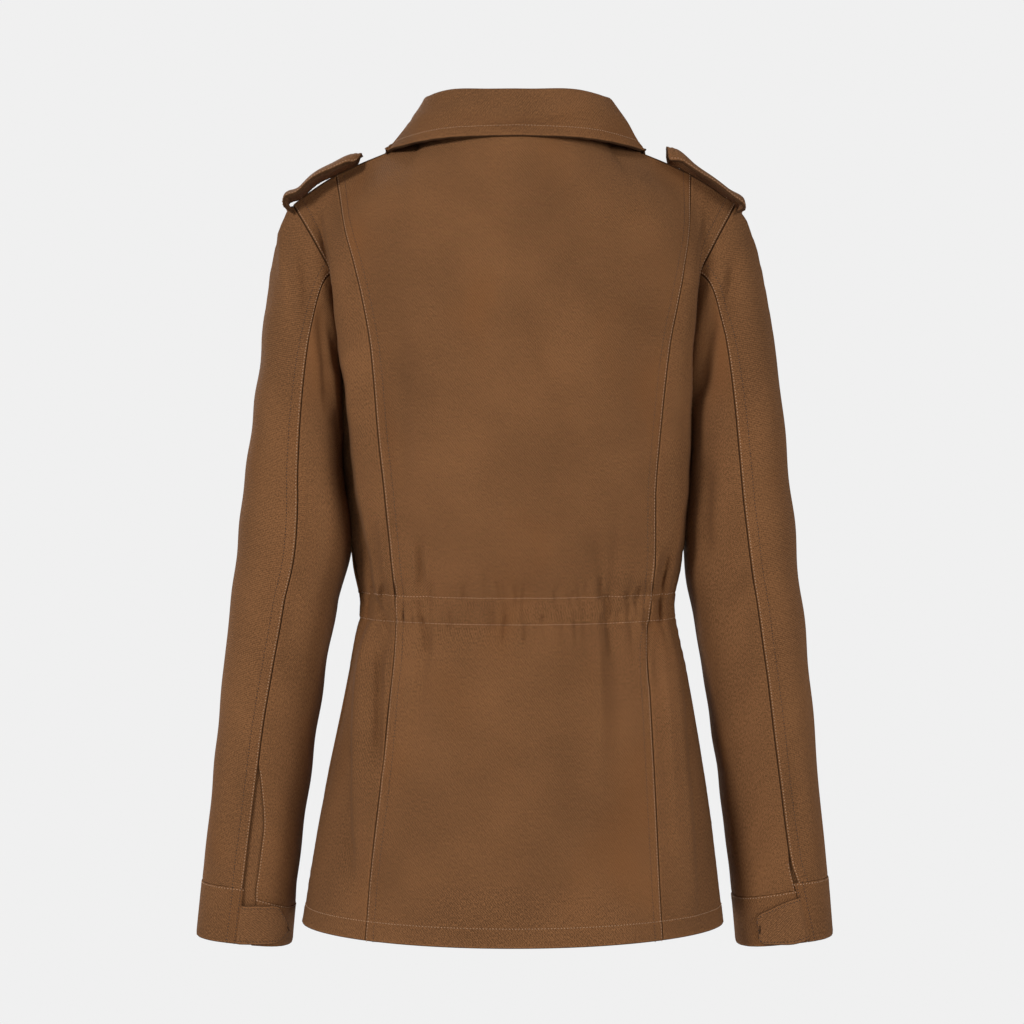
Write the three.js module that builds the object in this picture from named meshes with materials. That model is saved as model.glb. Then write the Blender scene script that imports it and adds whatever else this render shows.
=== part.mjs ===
import * as THREE from "three";

const { Vector3, MathUtils } = THREE;

// Cloth and seams, in millimetres
const CLOTH = 1.4; // one layer of twill with its turnings
const DOUBLED = 2.4; // two layers sewn together
const SEAM_GAP = 0.3;
const SHOULDER_TIP = 186; // half the shoulder width
const NECK_HALF = 76;
const HALF_TURN = 180;

// Torso from hem to shoulder. edge = side seam, then the armhole; rise and depth = centre back and front
const UNDERARM = 0.573;
const TORSO = [
  { v: 0.0, edgeZ: -601, backX: 175.5, frontX: 175.5, backY: 0, frontY: 0, bulge: 3,
    backRise: -608, backDepth: 116, frontRise: -606, frontDepth: -124, dome: 0, turnZ: -601, lean: 1 },
  { v: 0.144, edgeZ: -500, backX: 161, frontX: 161, backY: 0, frontY: 0, bulge: 4,
    backRise: -503, backDepth: 103, frontRise: -503, frontDepth: -114, dome: 0, turnZ: -500, lean: -1.2 },
  { v: 0.289, edgeZ: -399, backX: 142, frontX: 142, backY: 0, frontY: 0, bulge: 3,
    backRise: -404, backDepth: 84, frontRise: -404, frontDepth: -100, dome: 0, turnZ: -399, lean: -3 },
  { v: 0.338, edgeZ: -365, backX: 135, frontX: 135, backY: 0, frontY: 0, bulge: 2,
    backRise: -371, backDepth: 77, frontRise: -371, frontDepth: -96, dome: 0, turnZ: -365, lean: -3 },
  { v: 0.384, edgeZ: -332, backX: 131, frontX: 131, backY: 0, frontY: 0, bulge: 2,
    backRise: -338, backDepth: 74, frontRise: -341, frontDepth: -95, dome: 0, turnZ: -332, lean: -2.5 },
  { v: 0.433, edgeZ: -298, backX: 137, frontX: 137, backY: 0, frontY: 0, bulge: 5,
    backRise: -303, backDepth: 80, frontRise: -312, frontDepth: -104, dome: 0, turnZ: -298, lean: -2.5 },
  { v: 0.503, edgeZ: -249, backX: 141, frontX: 141, backY: 0, frontY: 0, bulge: 7,
    backRise: -251, backDepth: 91, frontRise: -266, frontDepth: -120, dome: 0, turnZ: -249, lean: -2 },
  { v: 0.573, edgeZ: -200, backX: 143, frontX: 143, backY: 0, frontY: 0, bulge: 7,
    backRise: -198, backDepth: 98, frontRise: -219, frontDepth: -130, dome: 0, turnZ: -200, lean: -1.5 },
  { v: 0.602, edgeZ: -192, backX: 143, frontX: 142, backY: 13, frontY: -15, bulge: 7,
    backRise: -180, backDepth: 100, frontRise: -200, frontDepth: -131, dome: 1, turnZ: -184, lean: -1.5 },
  { v: 0.651, edgeZ: -168, backX: 142, frontX: 138, backY: 24, frontY: -30, bulge: 8,
    backRise: -149, backDepth: 102, frontRise: -171, frontDepth: -130, dome: 2, turnZ: -156, lean: -1.5 },
  { v: 0.705, edgeZ: -140, backX: 142, frontX: 136, backY: 30, frontY: -41, bulge: 9,
    backRise: -115, backDepth: 103, frontRise: -142, frontDepth: -125, dome: 5, turnZ: -127, lean: -1.5 },
  { v: 0.79, edgeZ: -95, backX: 146, frontX: 138, backY: 34, frontY: -48, bulge: 9,
    backRise: -61, backDepth: 98, frontRise: -103, frontDepth: -111, dome: 9, turnZ: -80, lean: -1.5 },
  { v: 0.857, edgeZ: -60, backX: 153, frontX: 147, backY: 32, frontY: -45, bulge: 5,
    backRise: -20, backDepth: 88, frontRise: -76, frontDepth: -99, dome: 12, turnZ: -46, lean: -1.2 },
  { v: 0.905, edgeZ: -38, backX: 164, frontX: 160, backY: 26, frontY: -35, bulge: 2,
    backRise: 8, backDepth: 79, frontRise: -58, frontDepth: -91, dome: 16, turnZ: -24, lean: -1 },
  { v: 0.959, edgeZ: -15, backX: 177, frontX: 175, backY: 14, frontY: -18, bulge: 0,
    backRise: 37, backDepth: 66, frontRise: -39, frontDepth: -82, dome: 11, turnZ: -3, lean: -0.5 },
  { v: 1.0, edgeZ: 0, backX: 186, frontX: 186, backY: 0, frontY: 0, bulge: 0,
    backRise: 56, backDepth: 56, frontRise: -25, frontDepth: -75, dome: 0, turnZ: 12, lean: 0 },
];
const FLAT = 0.62; // how far each section runs straight from the centre
const TURN = 0.6; // how far each section runs straight into its edge
const LOCAL = 8; // power that keeps the armhole's turn near its edge
const TOP_BLEND = 0.85; // the shoulder line and neckline shape the cloth above here
const NECK_SHARE = 0.44; // share of the top edge that is neckline

// The shoulder line, seen from behind
const SHOULDER = [
  { x: 76, z: 57 },
  { x: 112, z: 42 },
  { x: 130, z: 34.5 },
  { x: 150, z: 25 },
  { x: 170, z: 12.5 },
  { x: 186, z: 0 },
];

// Princess seams down the back, x at each height
const PRINCESS = [
  { z: -606, left: 120.5, right: -120.5 },
  { z: -555, left: 117, right: -118 },
  { z: -474, left: 108, right: -114.5 },
  { z: -414, left: 103, right: -111.8 },
  { z: -375, left: 99, right: -110.2 },
  { z: -337, left: 97.6, right: -113 },
  { z: -293, left: 101, right: -116.3 },
  { z: -247, left: 105.5, right: -116 },
  { z: -202, left: 110.4, right: -119 },
  { z: -125, left: 117, right: -127 },
  { z: -85, left: 124, right: -134.5 },
  { z: -56, left: 131, right: -140 },
  { z: -25, left: 139.7, right: -145 },
  { z: 24, left: 149.5, right: -148.7 },
];

// Largest folds of the back, from one end to the other, as seen from behind
const BACK_FOLDS = [
  { x0: 148, z0: -58, x1: 131, z1: -285, wide: 11, lift: 4 },
  { x0: -150, z0: -58, x1: -142, z1: -288, wide: 11, lift: 3.5 },
  { x0: -8, z0: -60, x1: -72, z1: -240, wide: 22, lift: -2.5 },
  { x0: 96, z0: -80, x1: 92, z1: -250, wide: 11, lift: -2 },
  { x0: 127, z0: -345, x1: 128, z1: -530, wide: 10, lift: 4 },
  { x0: 108, z0: -335, x1: 112, z1: -470, wide: 9, lift: -3 },
  { x0: -128, z0: -340, x1: -146, z1: -595, wide: 11, lift: 4 },
  { x0: -115, z0: -345, x1: -117, z1: -400, wide: 8, lift: -2.5 },
  { x0: -68, z0: -345, x1: -70, z1: -480, wide: 7, lift: 2 },
  { x0: 60, z0: -345, x1: 52, z1: -500, wide: 12, lift: 2 },
  { x0: -30, z0: -360, x1: -34, z1: -560, wide: 16, lift: 1.8 },
];

// Soft folds of the hidden front
const FRONT_FOLDS = [
  { x0: 120, z0: -110, x1: 96, z1: -230, wide: 13, lift: -2.5 },
  { x0: -118, z0: -105, x1: -98, z1: -240, wide: 12, lift: -2.5 },
  { x0: 110, z0: -345, x1: 126, z1: -520, wide: 12, lift: 3 },
  { x0: -112, z0: -345, x1: -120, z1: -560, wide: 13, lift: 3 },
  { x0: 52, z0: -345, x1: 60, z1: -470, wide: 11, lift: 2 },
  { x0: -50, z0: -345, x1: -62, z1: -500, wide: 12, lift: 2 },
];

// Gathers at the waist casing: place across the half, reach above and below, depth and width
const BACK_GATHERS = [
  { s: 0.87, above: 24, below: 40, deep: 1.8, wide: 0.026 },
  { s: 0.79, above: 20, below: 34, deep: 1.5, wide: 0.026 },
  { s: 0.68, above: 26, below: 42, deep: 2.0, wide: 0.028 },
  { s: 0.59, above: 30, below: 56, deep: 2.4, wide: 0.03 },
  { s: 0.352, above: 48, below: 95, deep: 3.0, wide: 0.026 },
  { s: 0.25, above: 18, below: 24, deep: 1.2, wide: 0.02 },
  { s: 0.165, above: 22, below: 32, deep: 1.7, wide: 0.02 },
  { s: 0.101, above: 20, below: 26, deep: 1.5, wide: 0.017 },
  { s: 0.035, above: 20, below: 30, deep: 1.7, wide: 0.017 },
  { s: -0.037, above: 22, below: 28, deep: 1.6, wide: 0.018 },
  { s: -0.1, above: 24, below: 30, deep: 1.8, wide: 0.018 },
  { s: -0.165, above: 24, below: 32, deep: 1.7, wide: 0.02 },
  { s: -0.25, above: 26, below: 34, deep: 2.0, wide: 0.022 },
  { s: -0.368, above: 62, below: 44, deep: 3.4, wide: 0.03 },
  { s: -0.468, above: 26, below: 36, deep: 1.8, wide: 0.024 },
  { s: -0.585, above: 28, below: 36, deep: 2.0, wide: 0.028 },
  { s: -0.71, above: 40, below: 26, deep: 2.4, wide: 0.03 },
  { s: -0.8, above: 20, below: 30, deep: 1.5, wide: 0.026 },
  { s: -0.88, above: 22, below: 36, deep: 1.7, wide: 0.026 },
];
const FRONT_GATHERS = [
  { s: 0.2, above: 24, below: 36, deep: 1.8, wide: 0.03 },
  { s: 0.31, above: 28, below: 44, deep: 2.2, wide: 0.03 },
  { s: 0.43, above: 22, below: 34, deep: 1.7, wide: 0.03 },
  { s: 0.56, above: 30, below: 48, deep: 2.3, wide: 0.032 },
  { s: 0.69, above: 24, below: 38, deep: 2.0, wide: 0.032 },
  { s: 0.83, above: 22, below: 34, deep: 1.8, wide: 0.03 },
  { s: -0.19, above: 26, below: 40, deep: 1.9, wide: 0.03 },
  { s: -0.29, above: 22, below: 32, deep: 1.6, wide: 0.03 },
  { s: -0.42, above: 30, below: 46, deep: 2.3, wide: 0.032 },
  { s: -0.54, above: 24, below: 36, deep: 1.8, wide: 0.03 },
  { s: -0.67, above: 28, below: 42, deep: 2.1, wide: 0.032 },
  { s: -0.82, above: 22, below: 36, deep: 1.7, wide: 0.03 },
];
const WAIST_V = 0.384; // the casing's mid line
const SPAN = 700; // length of cloth from v = 0 to v = 1
const EDGE_CALM = 0.93; // folds die out between here and the edge

// Sleeve rings below the underarm: outer and inner edge, centre and half depth, outer side raised by tilt;
// left and right are how much fuller each sleeve is outside
const SLEEVE = [
  { z: -620, out: 268.6, into: 188.5, mid: -22, deep: 44, tilt: 0.1, left: 0, right: 1 },
  { z: -571, out: 264.2, into: 184, mid: -20, deep: 45, tilt: 0.16, left: -1, right: 1 },
  { z: -500, out: 256.5, into: 175.3, mid: -17, deep: 47.5, tilt: 0.12, left: -1, right: 2 },
  { z: -450, out: 251.5, into: 168.6, mid: -15, deep: 50, tilt: 0.1, left: -1, right: 2.5 },
  { z: -399, out: 246, into: 160.8, mid: -13, deep: 53, tilt: 0.08, left: -1, right: 3 },
  { z: -332, out: 239, into: 149, mid: -11, deep: 56, tilt: 0.05, left: -1, right: 3 },
  { z: -298, out: 235, into: 143.6, mid: -10, deep: 57, tilt: 0.03, left: -1, right: 4 },
  { z: -264, out: 231.5, into: 143, mid: -9, deep: 58, tilt: 0.015, left: -1, right: 4.5 },
  { z: -232, out: 227.5, into: 144.5, mid: -9, deep: 58.5, tilt: 0, left: -1, right: 5 },
];
const RING_TOP = -232;
const RING_FOOT = -618;
const CUFF_TOP = -571;
const CUFF_T = 1 + (CUFF_TOP - RING_TOP) / (RING_FOOT - RING_TOP);

// How the sleeve leaves the armhole, by share of the way round from the shoulder tip by the back
const CAP = [
  { p: 0, x: 0.83, y: 0, z: -0.55, pull: 0.3 },
  { p: 0.12, x: 0.8, y: 0.5, z: -0.45, pull: 0.32 },
  { p: 0.25, x: 0.75, y: 0.62, z: -0.3, pull: 0.42 },
  { p: 0.38, x: 0.8, y: 0.3, z: -0.5, pull: 0.42 },
  { p: 0.5, x: 0.7, y: 0, z: -1, pull: 0.5 },
  { p: 0.62, x: 0.7, y: -0.45, z: -0.5, pull: 0.42 },
  { p: 0.75, x: 0.78, y: -0.6, z: -0.3, pull: 0.42 },
  { p: 0.88, x: 0.8, y: -0.5, z: -0.45, pull: 0.32 },
  { p: 1, x: 0.83, y: 0, z: -0.55, pull: 0.3 },
];
const CAP_FALL = 1.1; // pull of the straight sleeve on the cap
const RIGHT_PULL = 1.35; // the right cap stands out further

// How far the back sleeve seam lies outside the sleeve's middle, and how far the vent stands open
const SLEEVE_SEAM = [
  { z: -620, left: 3, right: 19, leftVent: 0, rightVent: 0 },
  { z: -587, left: 2, right: 14, leftVent: 12.5, rightVent: 2 },
  { z: -571, left: 1.7, right: 12, leftVent: 12.5, rightVent: 3.4 },
  { z: -551, left: 1.5, right: 8, leftVent: 12, rightVent: 2.4 },
  { z: -520, left: 1.2, right: 6.6, leftVent: 9, rightVent: 0 },
  { z: -490, left: 0.8, right: 6, leftVent: 3, rightVent: 0 },
  { z: -470, left: 0.5, right: 5.5, leftVent: 0, rightVent: 0 },
  { z: -435, left: 0, right: 5, leftVent: 0, rightVent: 0 },
  { z: -332, left: -4, right: 5, leftVent: 0, rightVent: 0 },
  { z: -232, left: -6, right: -1, leftVent: 0, rightVent: 0 },
];
const BACK_SEAM_V = 0.857;
const FRONT_SEAM_V = 0.705;
const BACK_SEAM = 0.5 * (1 - BACK_SEAM_V) / (1 - UNDERARM); // as shares round the armhole
const FRONT_SEAM = 1 - 0.5 * (1 - FRONT_SEAM_V) / (1 - UNDERARM);
const FRONT_SEAM_TURN = 232; // degrees round the sleeve from its outer side

// Sleeve folds as seen from behind (side of the wearer, back or front of the arm)
const SLEEVE_FOLDS = [
  { side: 1, face: 1, x0: 190, z0: -12, x1: 186, z1: -90, wide: 7, lift: 2 },
  { side: 1, face: 1, x0: 176, z0: -30, x1: 168, z1: -110, wide: 7, lift: -2 },
  { side: 1, face: 1, x0: 200, z0: -290, x1: 172, z1: -330, wide: 10, lift: -2 },
  { side: 1, face: 1, x0: 214, z0: -360, x1: 186, z1: -395, wide: 10, lift: 1.6 },
  { side: 1, face: 1, x0: 226, z0: -480, x1: 240, z1: -560, wide: 9, lift: -1.6 },
  { side: -1, face: 1, x0: -182, z0: -38, x1: -172, z1: -110, wide: 9, lift: -3 },
  { side: -1, face: 1, x0: -165, z0: -100, x1: -160, z1: -160, wide: 10, lift: -2.5 },
  { side: -1, face: 1, x0: -164, z0: -195, x1: -158, z1: -270, wide: 8, lift: -2 },
  { side: -1, face: 1, x0: -206, z0: -300, x1: -178, z1: -345, wide: 10, lift: -2 },
  { side: -1, face: 1, x0: -230, z0: -470, x1: -240, z1: -560, wide: 9, lift: -1.6 },
  { side: 1, face: -1, x0: 170, z0: -60, x1: 165, z1: -150, wide: 9, lift: -2.5 },
  { side: -1, face: -1, x0: -170, z0: -60, x1: -165, z1: -150, wide: 9, lift: -2.5 },
  { side: 1, face: -1, x0: 160, z0: -320, x1: 205, z1: -345, wide: 9, lift: -2.5 },
  { side: -1, face: -1, x0: -160, z0: -325, x1: -205, z1: -350, wide: 9, lift: -2.5 },
  { side: 1, face: -1, x0: 168, z0: -380, x1: 215, z1: -390, wide: 9, lift: -2 },
  { side: -1, face: -1, x0: -168, z0: -372, x1: -215, z1: -385, wide: 9, lift: -2 },
];

// Collar round the neck, by angle from centre back: neck seam, fold and leaf edge
const COLLAR = [
  { a: 0, neckX: 0, neckY: 55, neckZ: 57,
    foldX: 0, foldY: 50, foldZ: 91, edgeX: 0, edgeY: 71, edgeZ: 51 },
  { a: 30, neckX: 38, neckY: 48, neckZ: 57,
    foldX: 43, foldY: 43, foldZ: 91.5, edgeX: 52, edgeY: 65, edgeZ: 50 },
  { a: 60, neckX: 66, neckY: 28.5, neckZ: 57.5,
    foldX: 73, foldY: 23, foldZ: 91, edgeX: 92, edgeY: 38, edgeZ: 47.5 },
  { a: 90, neckX: 76, neckY: 2, neckZ: 58,
    foldX: 82, foldY: -4, foldZ: 89, edgeX: 112, edgeY: 0, edgeZ: 45 },
  { a: 120, neckX: 66, neckY: -36.5, neckZ: 17,
    foldX: 71, foldY: -44, foldZ: 55, edgeX: 112, edgeY: -45, edgeZ: 24 },
  { a: 150, neckX: 38, neckY: -64.7, neckZ: -13,
    foldX: 42, foldY: -74, foldZ: 18, edgeX: 92, edgeY: -91, edgeZ: -18 },
  { a: 174, neckX: 8, neckY: -74.6, neckZ: -24,
    foldX: 9, foldY: -89, foldZ: 1, edgeX: 60, edgeY: -112, edgeZ: -58 },
];
const STAND_IN = 1.2; // the stand is inside the neckline by this
const SLUMP = 0.955; // the left side of the fold has sunk inwards
const ROLL = 7; // across the rolled fold
const COLLAR_END = 174;
const NECK_BACK = 10; // the neck's middle lies this far behind the shoulder line's ends
const ROLL_DROP = { inner: -3, outer: -3.5, leaf: -4 }; // below the top of the fold

// Epaulette: its middle line from the armhole seam to the free point, half width and how its sides droop
const EPAULETTE = [
  { w: 0, x: 189.5, left: -1.5, right: -2.5, half: 14, droop: 5 },
  { w: 0.1, x: 194.5, left: 3.5, right: 1, half: 20, droop: 5.5 },
  { w: 0.2, x: 191.5, left: 10.5, right: 7, half: 22, droop: 5.5 },
  { w: 0.4, x: 179, left: 18.5, right: 15, half: 22.5, droop: 5.5 },
  { w: 0.6, x: 165.5, left: 28.5, right: 24.5, half: 22.5, droop: 6 },
  { w: 0.8, x: 152, left: 35.5, right: 34, half: 22, droop: 7 },
  { w: 0.92, x: 139, left: 42, right: 45.5, half: 20, droop: 8 },
  { w: 1.0, x: 128, left: 44, right: 49.5, half: 3, droop: 0.5 },
];

const EPAULETTE_SEWN = 0.034; // share of the armhole under each half of its base
const EPAULETTE_FOOT = 0.05; // how far down the sleeve cap it is sewn
const EPAULETTE_RISE = 0.1; // share of its length that turns up from the seam
const EPAULETTE_ROWS = [0, 0.05, 0.1, 0.15, 0.2, 0.3, 0.45, 0.6, 0.75, 0.88, 0.94, 1];

const PLACKET_HALF = 16;
const BUTTON_ROWS = [0.072, 0.216, 0.36, 0.5, 0.651, 0.81];
const BUTTON_RADIUS = 8.5;
const BUTTON_THICK = 3;

// Reads one column of a table at any place between its rows, in a smooth curve
function along(table, by, at, column) {
  const last = table.length - 1;
  const slope = (i) => {
    const below = table[Math.max(i - 1, 0)];
    const above = table[Math.min(i + 1, last)];
    const turns = (table[i][column] - below[column]) * (above[column] - table[i][column]) <= 0;
    if (turns && i > 0 && i < last) return 0;
    return (above[column] - below[column]) / (above[by] - below[by]);
  };
  if (at <= table[0][by]) return table[0][column] + slope(0) * (at - table[0][by]);
  if (at >= table[last][by]) return table[last][column] + slope(last) * (at - table[last][by]);
  let i = 0;
  while (table[i + 1][by] < at) i += 1;
  const [low, high] = [table[i], table[i + 1]];
  const span = high[by] - low[by];
  const t = (at - low[by]) / span;
  const rest = 1 - t;
  return (1 + 2 * t) * rest * rest * low[column]
    + t * rest * rest * span * slope(i)
    + t * t * (3 - 2 * t) * high[column]
    - t * t * rest * span * slope(i + 1);
}

const smooth = (from, to, x) => MathUtils.smoothstep(x, from, to);

// The lift of all folds of a table at one place of the cloth seen from behind
function foldLift(table, x, z) {
  return table.reduce((sum, fold) => {
    const [dx, dz] = [fold.x1 - fold.x0, fold.z1 - fold.z0];
    const share = ((x - fold.x0) * dx + (z - fold.z0) * dz) / (dx * dx + dz * dz);
    const t = MathUtils.clamp(share, 0, 1);
    const off = Math.hypot(x - fold.x0 - t * dx, z - fold.z0 - t * dz);
    return sum + fold.lift * Math.sqrt(4 * t * (1 - t)) * Math.exp(-((off / fold.wide) ** 2));
  }, 0);
}

function gatherLift(table, s, v) {
  return table.reduce((sum, gather) => {
    const away = (v - WAIST_V) * SPAN;
    const fade = Math.exp(-((away / (away > 0 ? gather.above : gather.below)) ** 2));
    return sum - gather.deep * fade * Math.exp(-(((s - gather.s) / gather.wide) ** 2));
  }, 0);
}

const BACK = { x: "backX", y: "backY", rise: "backRise", depth: "backDepth", out: -1, hollow: 34,
  folds: BACK_FOLDS, gathers: BACK_GATHERS };
const FRONT = { x: "frontX", y: "frontY", rise: "frontRise", depth: "frontDepth", out: 1, hollow: -48,
  folds: FRONT_FOLDS, gathers: FRONT_GATHERS };

// One section of the torso, before the shoulder shapes it
function section(half, u, v) {
  const read = (column) => along(TORSO, "v", v, column);
  const [edgeX, edgeY, edgeZ] = [read(half.x), read(half.y), read("edgeZ")];
  const [rise, depth] = [read(half.rise), read(half.depth)];
  const bulge = read("bulge") * depth / read("backDepth");
  const calmY = half.hollow * smooth(0.5, 0.75, v) * (1 - smooth(0.8, 1, v));
  const rest = 1 - u;
  const [start, first, second, end] = [rest ** 3, 3 * rest * rest * u, 3 * rest * u * u, u ** 3];
  return new Vector3(
    first * FLAT * edgeX + second * (edgeX + bulge) + end * edgeX,
    (start + first + second * TURN) * depth + end * calmY + (edgeY - calmY) * u ** LOCAL,
    (start + first) * rise + second * read("turnZ") + end * edgeZ + read("dome") * Math.sin(Math.PI * u) ** 2,
  );
}

// The top edge of a half: neckline, then shoulder line
function topEdge(half, u) {
  if (u > NECK_SHARE) {
    const share = (u - NECK_SHARE) / (1 - NECK_SHARE);
    const x = NECK_HALF + share * (SHOULDER_TIP - NECK_HALF);
    return new Vector3(x, 2 * (1 - share), along(SHOULDER, "x", x, "z"));
  }
  const turn = (u / NECK_SHARE) * Math.PI / 2;
  const top = half === BACK ? { y: 54, z: 1 } : { y: -77, z: 82 };
  return new Vector3(NECK_HALF * Math.sin(turn), 2 + top.y * Math.cos(turn), 57 - top.z * Math.cos(turn));
}

function torsoBase(half, s, v) {
  const u = Math.abs(s);
  const place = section(half, u, v);
  const weight = smooth(TOP_BLEND, 1, v);
  if (weight > 0) place.addScaledVector(topEdge(half, u).sub(section(half, u, 1)), weight);
  place.x = along(TORSO, "v", v, "lean") + (s < 0 ? -place.x : place.x);
  return place;
}

const STEP = 1e-3;

// Outward direction of a surface, from its slopes
function outward(surface, u, v, out) {
  const across = surface(u + STEP, v).sub(surface(u - STEP, v));
  const up = surface(u, v + STEP).sub(surface(u, v - STEP));
  return across.cross(up).normalize().multiplyScalar(out);
}

function torso(half, s, v) {
  const place = torsoBase(half, s, v);
  const calm = 1 - smooth(EDGE_CALM, 1, Math.abs(s));
  if (calm <= 0) return place;
  const lift = foldLift(half.folds, place.x, place.z) + gatherLift(half.gathers, s, v);
  const way = outward((a, b) => torsoBase(half, a, b), s, v, half.out);
  return place.addScaledVector(way, lift * calm);
}

const backAt = (s, v) => torso(BACK, s, v);
const frontAt = (s, v) => torso(FRONT, s, v);
const backWay = (s, v) => outward(backAt, s, v, BACK.out);
const frontWay = (s, v) => outward(frontAt, s, v, FRONT.out);

// The armhole, round from the shoulder tip by the back and the underarm
function armhole(side, p) {
  const turn = p - Math.floor(p);
  const v = turn < 0.5
    ? 1 - (1 - UNDERARM) * turn / 0.5
    : UNDERARM + (1 - UNDERARM) * (turn - 0.5) / 0.5;
  return { half: turn < 0.5 ? BACK : FRONT, s: side, v };
}

function armholeAt(side, p) {
  const edge = armhole(side, p);
  return torso(edge.half, edge.s, edge.v);
}

// How far round the sleeve a share p comes, in degrees from its outer side, at one height
function sleeveTurn(side, p, z) {
  const turn = p - Math.floor(p);
  const ring = sleeveRing(side, z);
  const off = along(SLEEVE_SEAM, "z", z, side > 0 ? "left" : "right");
  const seam = 90 - MathUtils.radToDeg(Math.asin(off / ring.half));
  if (turn < BACK_SEAM) return seam * turn / BACK_SEAM;
  if (turn < 0.5) return seam + (HALF_TURN - seam) * (turn - BACK_SEAM) / (0.5 - BACK_SEAM);
  if (turn < FRONT_SEAM) {
    return HALF_TURN + (FRONT_SEAM_TURN - HALF_TURN) * (turn - 0.5) / (FRONT_SEAM - 0.5);
  }
  return FRONT_SEAM_TURN + (2 * HALF_TURN - FRONT_SEAM_TURN) * (turn - FRONT_SEAM) / (1 - FRONT_SEAM);
}

function sleeveRing(side, z) {
  const swing = along(SLEEVE, "z", z, side > 0 ? "left" : "right");
  const [out, into] = [along(SLEEVE, "z", z, "out") + swing, along(SLEEVE, "z", z, "into")];
  return { x: (out + into) / 2, half: (out - into) / 2, y: along(SLEEVE, "z", z, "mid"),
    deep: along(SLEEVE, "z", z, "deep"), tilt: along(SLEEVE, "z", z, "tilt") };
}

// A place on the straight sleeve; t is 1 at the top ring and 2 at the foot
function sleeveTube(side, p, t) {
  const z = RING_TOP + (t - 1) * (RING_FOOT - RING_TOP);
  const ring = sleeveRing(side, z);
  const turn = MathUtils.degToRad(sleeveTurn(side, p, z));
  const across = ring.half * Math.cos(turn);
  return new Vector3(side * (ring.x + across), ring.y + ring.deep * Math.sin(turn), z + ring.tilt * across);
}

function sleeveBase(side, p, t) {
  if (t >= 1) return sleeveTube(side, p, t);
  const turn = p - Math.floor(p);
  const start = armholeAt(side, turn);
  const end = sleeveTube(side, turn, 1);
  const reach = start.distanceTo(end);
  const read = (column) => along(CAP, "p", turn, column);
  const leave = new Vector3(side * read("x"), read("y"), read("z")).normalize()
    .multiplyScalar(reach * read("pull") * (side > 0 ? 1 : RIGHT_PULL));
  const arrive = sleeveTube(side, turn, 1 + STEP).sub(end).normalize().multiplyScalar(reach * CAP_FALL);
  const rest = 1 - t;
  return start.multiplyScalar((1 + 2 * t) * rest * rest)
    .addScaledVector(leave, t * rest * rest)
    .addScaledVector(end, t * t * (3 - 2 * t))
    .addScaledVector(arrive, -t * t * rest);
}

function sleeveAt(side, p, t) {
  const place = sleeveBase(side, p, t);
  const calm = smooth(0, 0.15, t) * (1 - smooth(CUFF_T - 0.08, CUFF_T, t));
  if (calm <= 0) return place;
  const way = outward((a, b) => sleeveBase(side, a, b), p, t, -side);
  const folds = SLEEVE_FOLDS.filter((fold) => fold.side === side && fold.face * way.y > 0);
  const facing = Math.min(1, 2 * Math.abs(way.y));
  return place.addScaledVector(way, foldLift(folds, place.x, place.z) * calm * facing);
}

// Rows of a panel: each has its own columns, so gathered rows can have more of them
const spread = (from, to, count) =>
  Array.from({ length: count + 1 }, (_, i) => from + (to - from) * i / count);

// One piece of cloth as a closed wall; point(u, v) gives its outer and inner place at column u of row v
function wall(rows, point) {
  const places = [];
  const grid = rows.map((row) => row.us.map((u) => {
    const { outer, inner } = point(u, row.v);
    places.push(outer, inner);
    return places.length - 2;
  }));
  const faces = [];
  const skin = (a, b, c) => faces.push([a, b, c], [a + 1, c + 1, b + 1]);
  const rim = (a, b) => faces.push([b, a, a + 1], [b, a + 1, b + 1]);
  grid.slice(1).forEach((above, j) => {
    const below = grid[j];
    const share = (list, i) => (list[i] - list[0]) / (list[list.length - 1] - list[0]);
    let [i, k] = [0, 0];
    while (i < below.length - 1 || k < above.length - 1) {
      const lower = i < below.length - 1 ? share(rows[j].us, i + 1) : 2;
      const upper = k < above.length - 1 ? share(rows[j + 1].us, k + 1) : 2;
      if (lower <= upper) {
        skin(below[i], below[i + 1], above[k]);
        i += 1;
      } else {
        skin(below[i], above[k + 1], above[k]);
        k += 1;
      }
    }
    rim(above[0], below[0]);
    rim(below[below.length - 1], above[above.length - 1]);
  });
  const [foot, top] = [grid[0], grid[grid.length - 1]];
  foot.slice(1).forEach((to, i) => rim(foot[i], to));
  top.slice(1).forEach((to, i) => rim(to, top[i]));
  const volume = faces.reduce((sum, [a, b, c]) => sum
    + places[a].dot(new Vector3().crossVectors(places[b], places[c])), 0);
  const geometry = new THREE.BufferGeometry().setFromPoints(places);
  geometry.setIndex(faces.flatMap(([a, b, c]) => (volume > 0 ? [a, b, c] : [a, c, b])));
  return geometry;
}

// The shared edge of two panels: one way through the cloth, each side standing back from it
const MITRE_REACH = 1.7;
function mitre(own, other, away) {
  const way = own.clone().add(other).normalize();
  const reach = Math.min(CLOTH / Math.max(way.dot(own), 0.2), MITRE_REACH);
  const shift = away.clone().addScaledVector(way, -away.dot(way)).normalize().multiplyScalar(SEAM_GAP / 2);
  return { shift, inward: way.multiplyScalar(-reach) };
}

// The same where three panels meet
function corner(ways, aways) {
  const way = ways.reduce((sum, each) => sum.add(each), new Vector3()).normalize();
  const shift = aways.reduce((sum, each) => sum.add(each), new Vector3());
  shift.addScaledVector(way, -shift.dot(way)).normalize().multiplyScalar(SEAM_GAP);
  return { shift, inward: way.multiplyScalar(-MITRE_REACH) };
}

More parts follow.
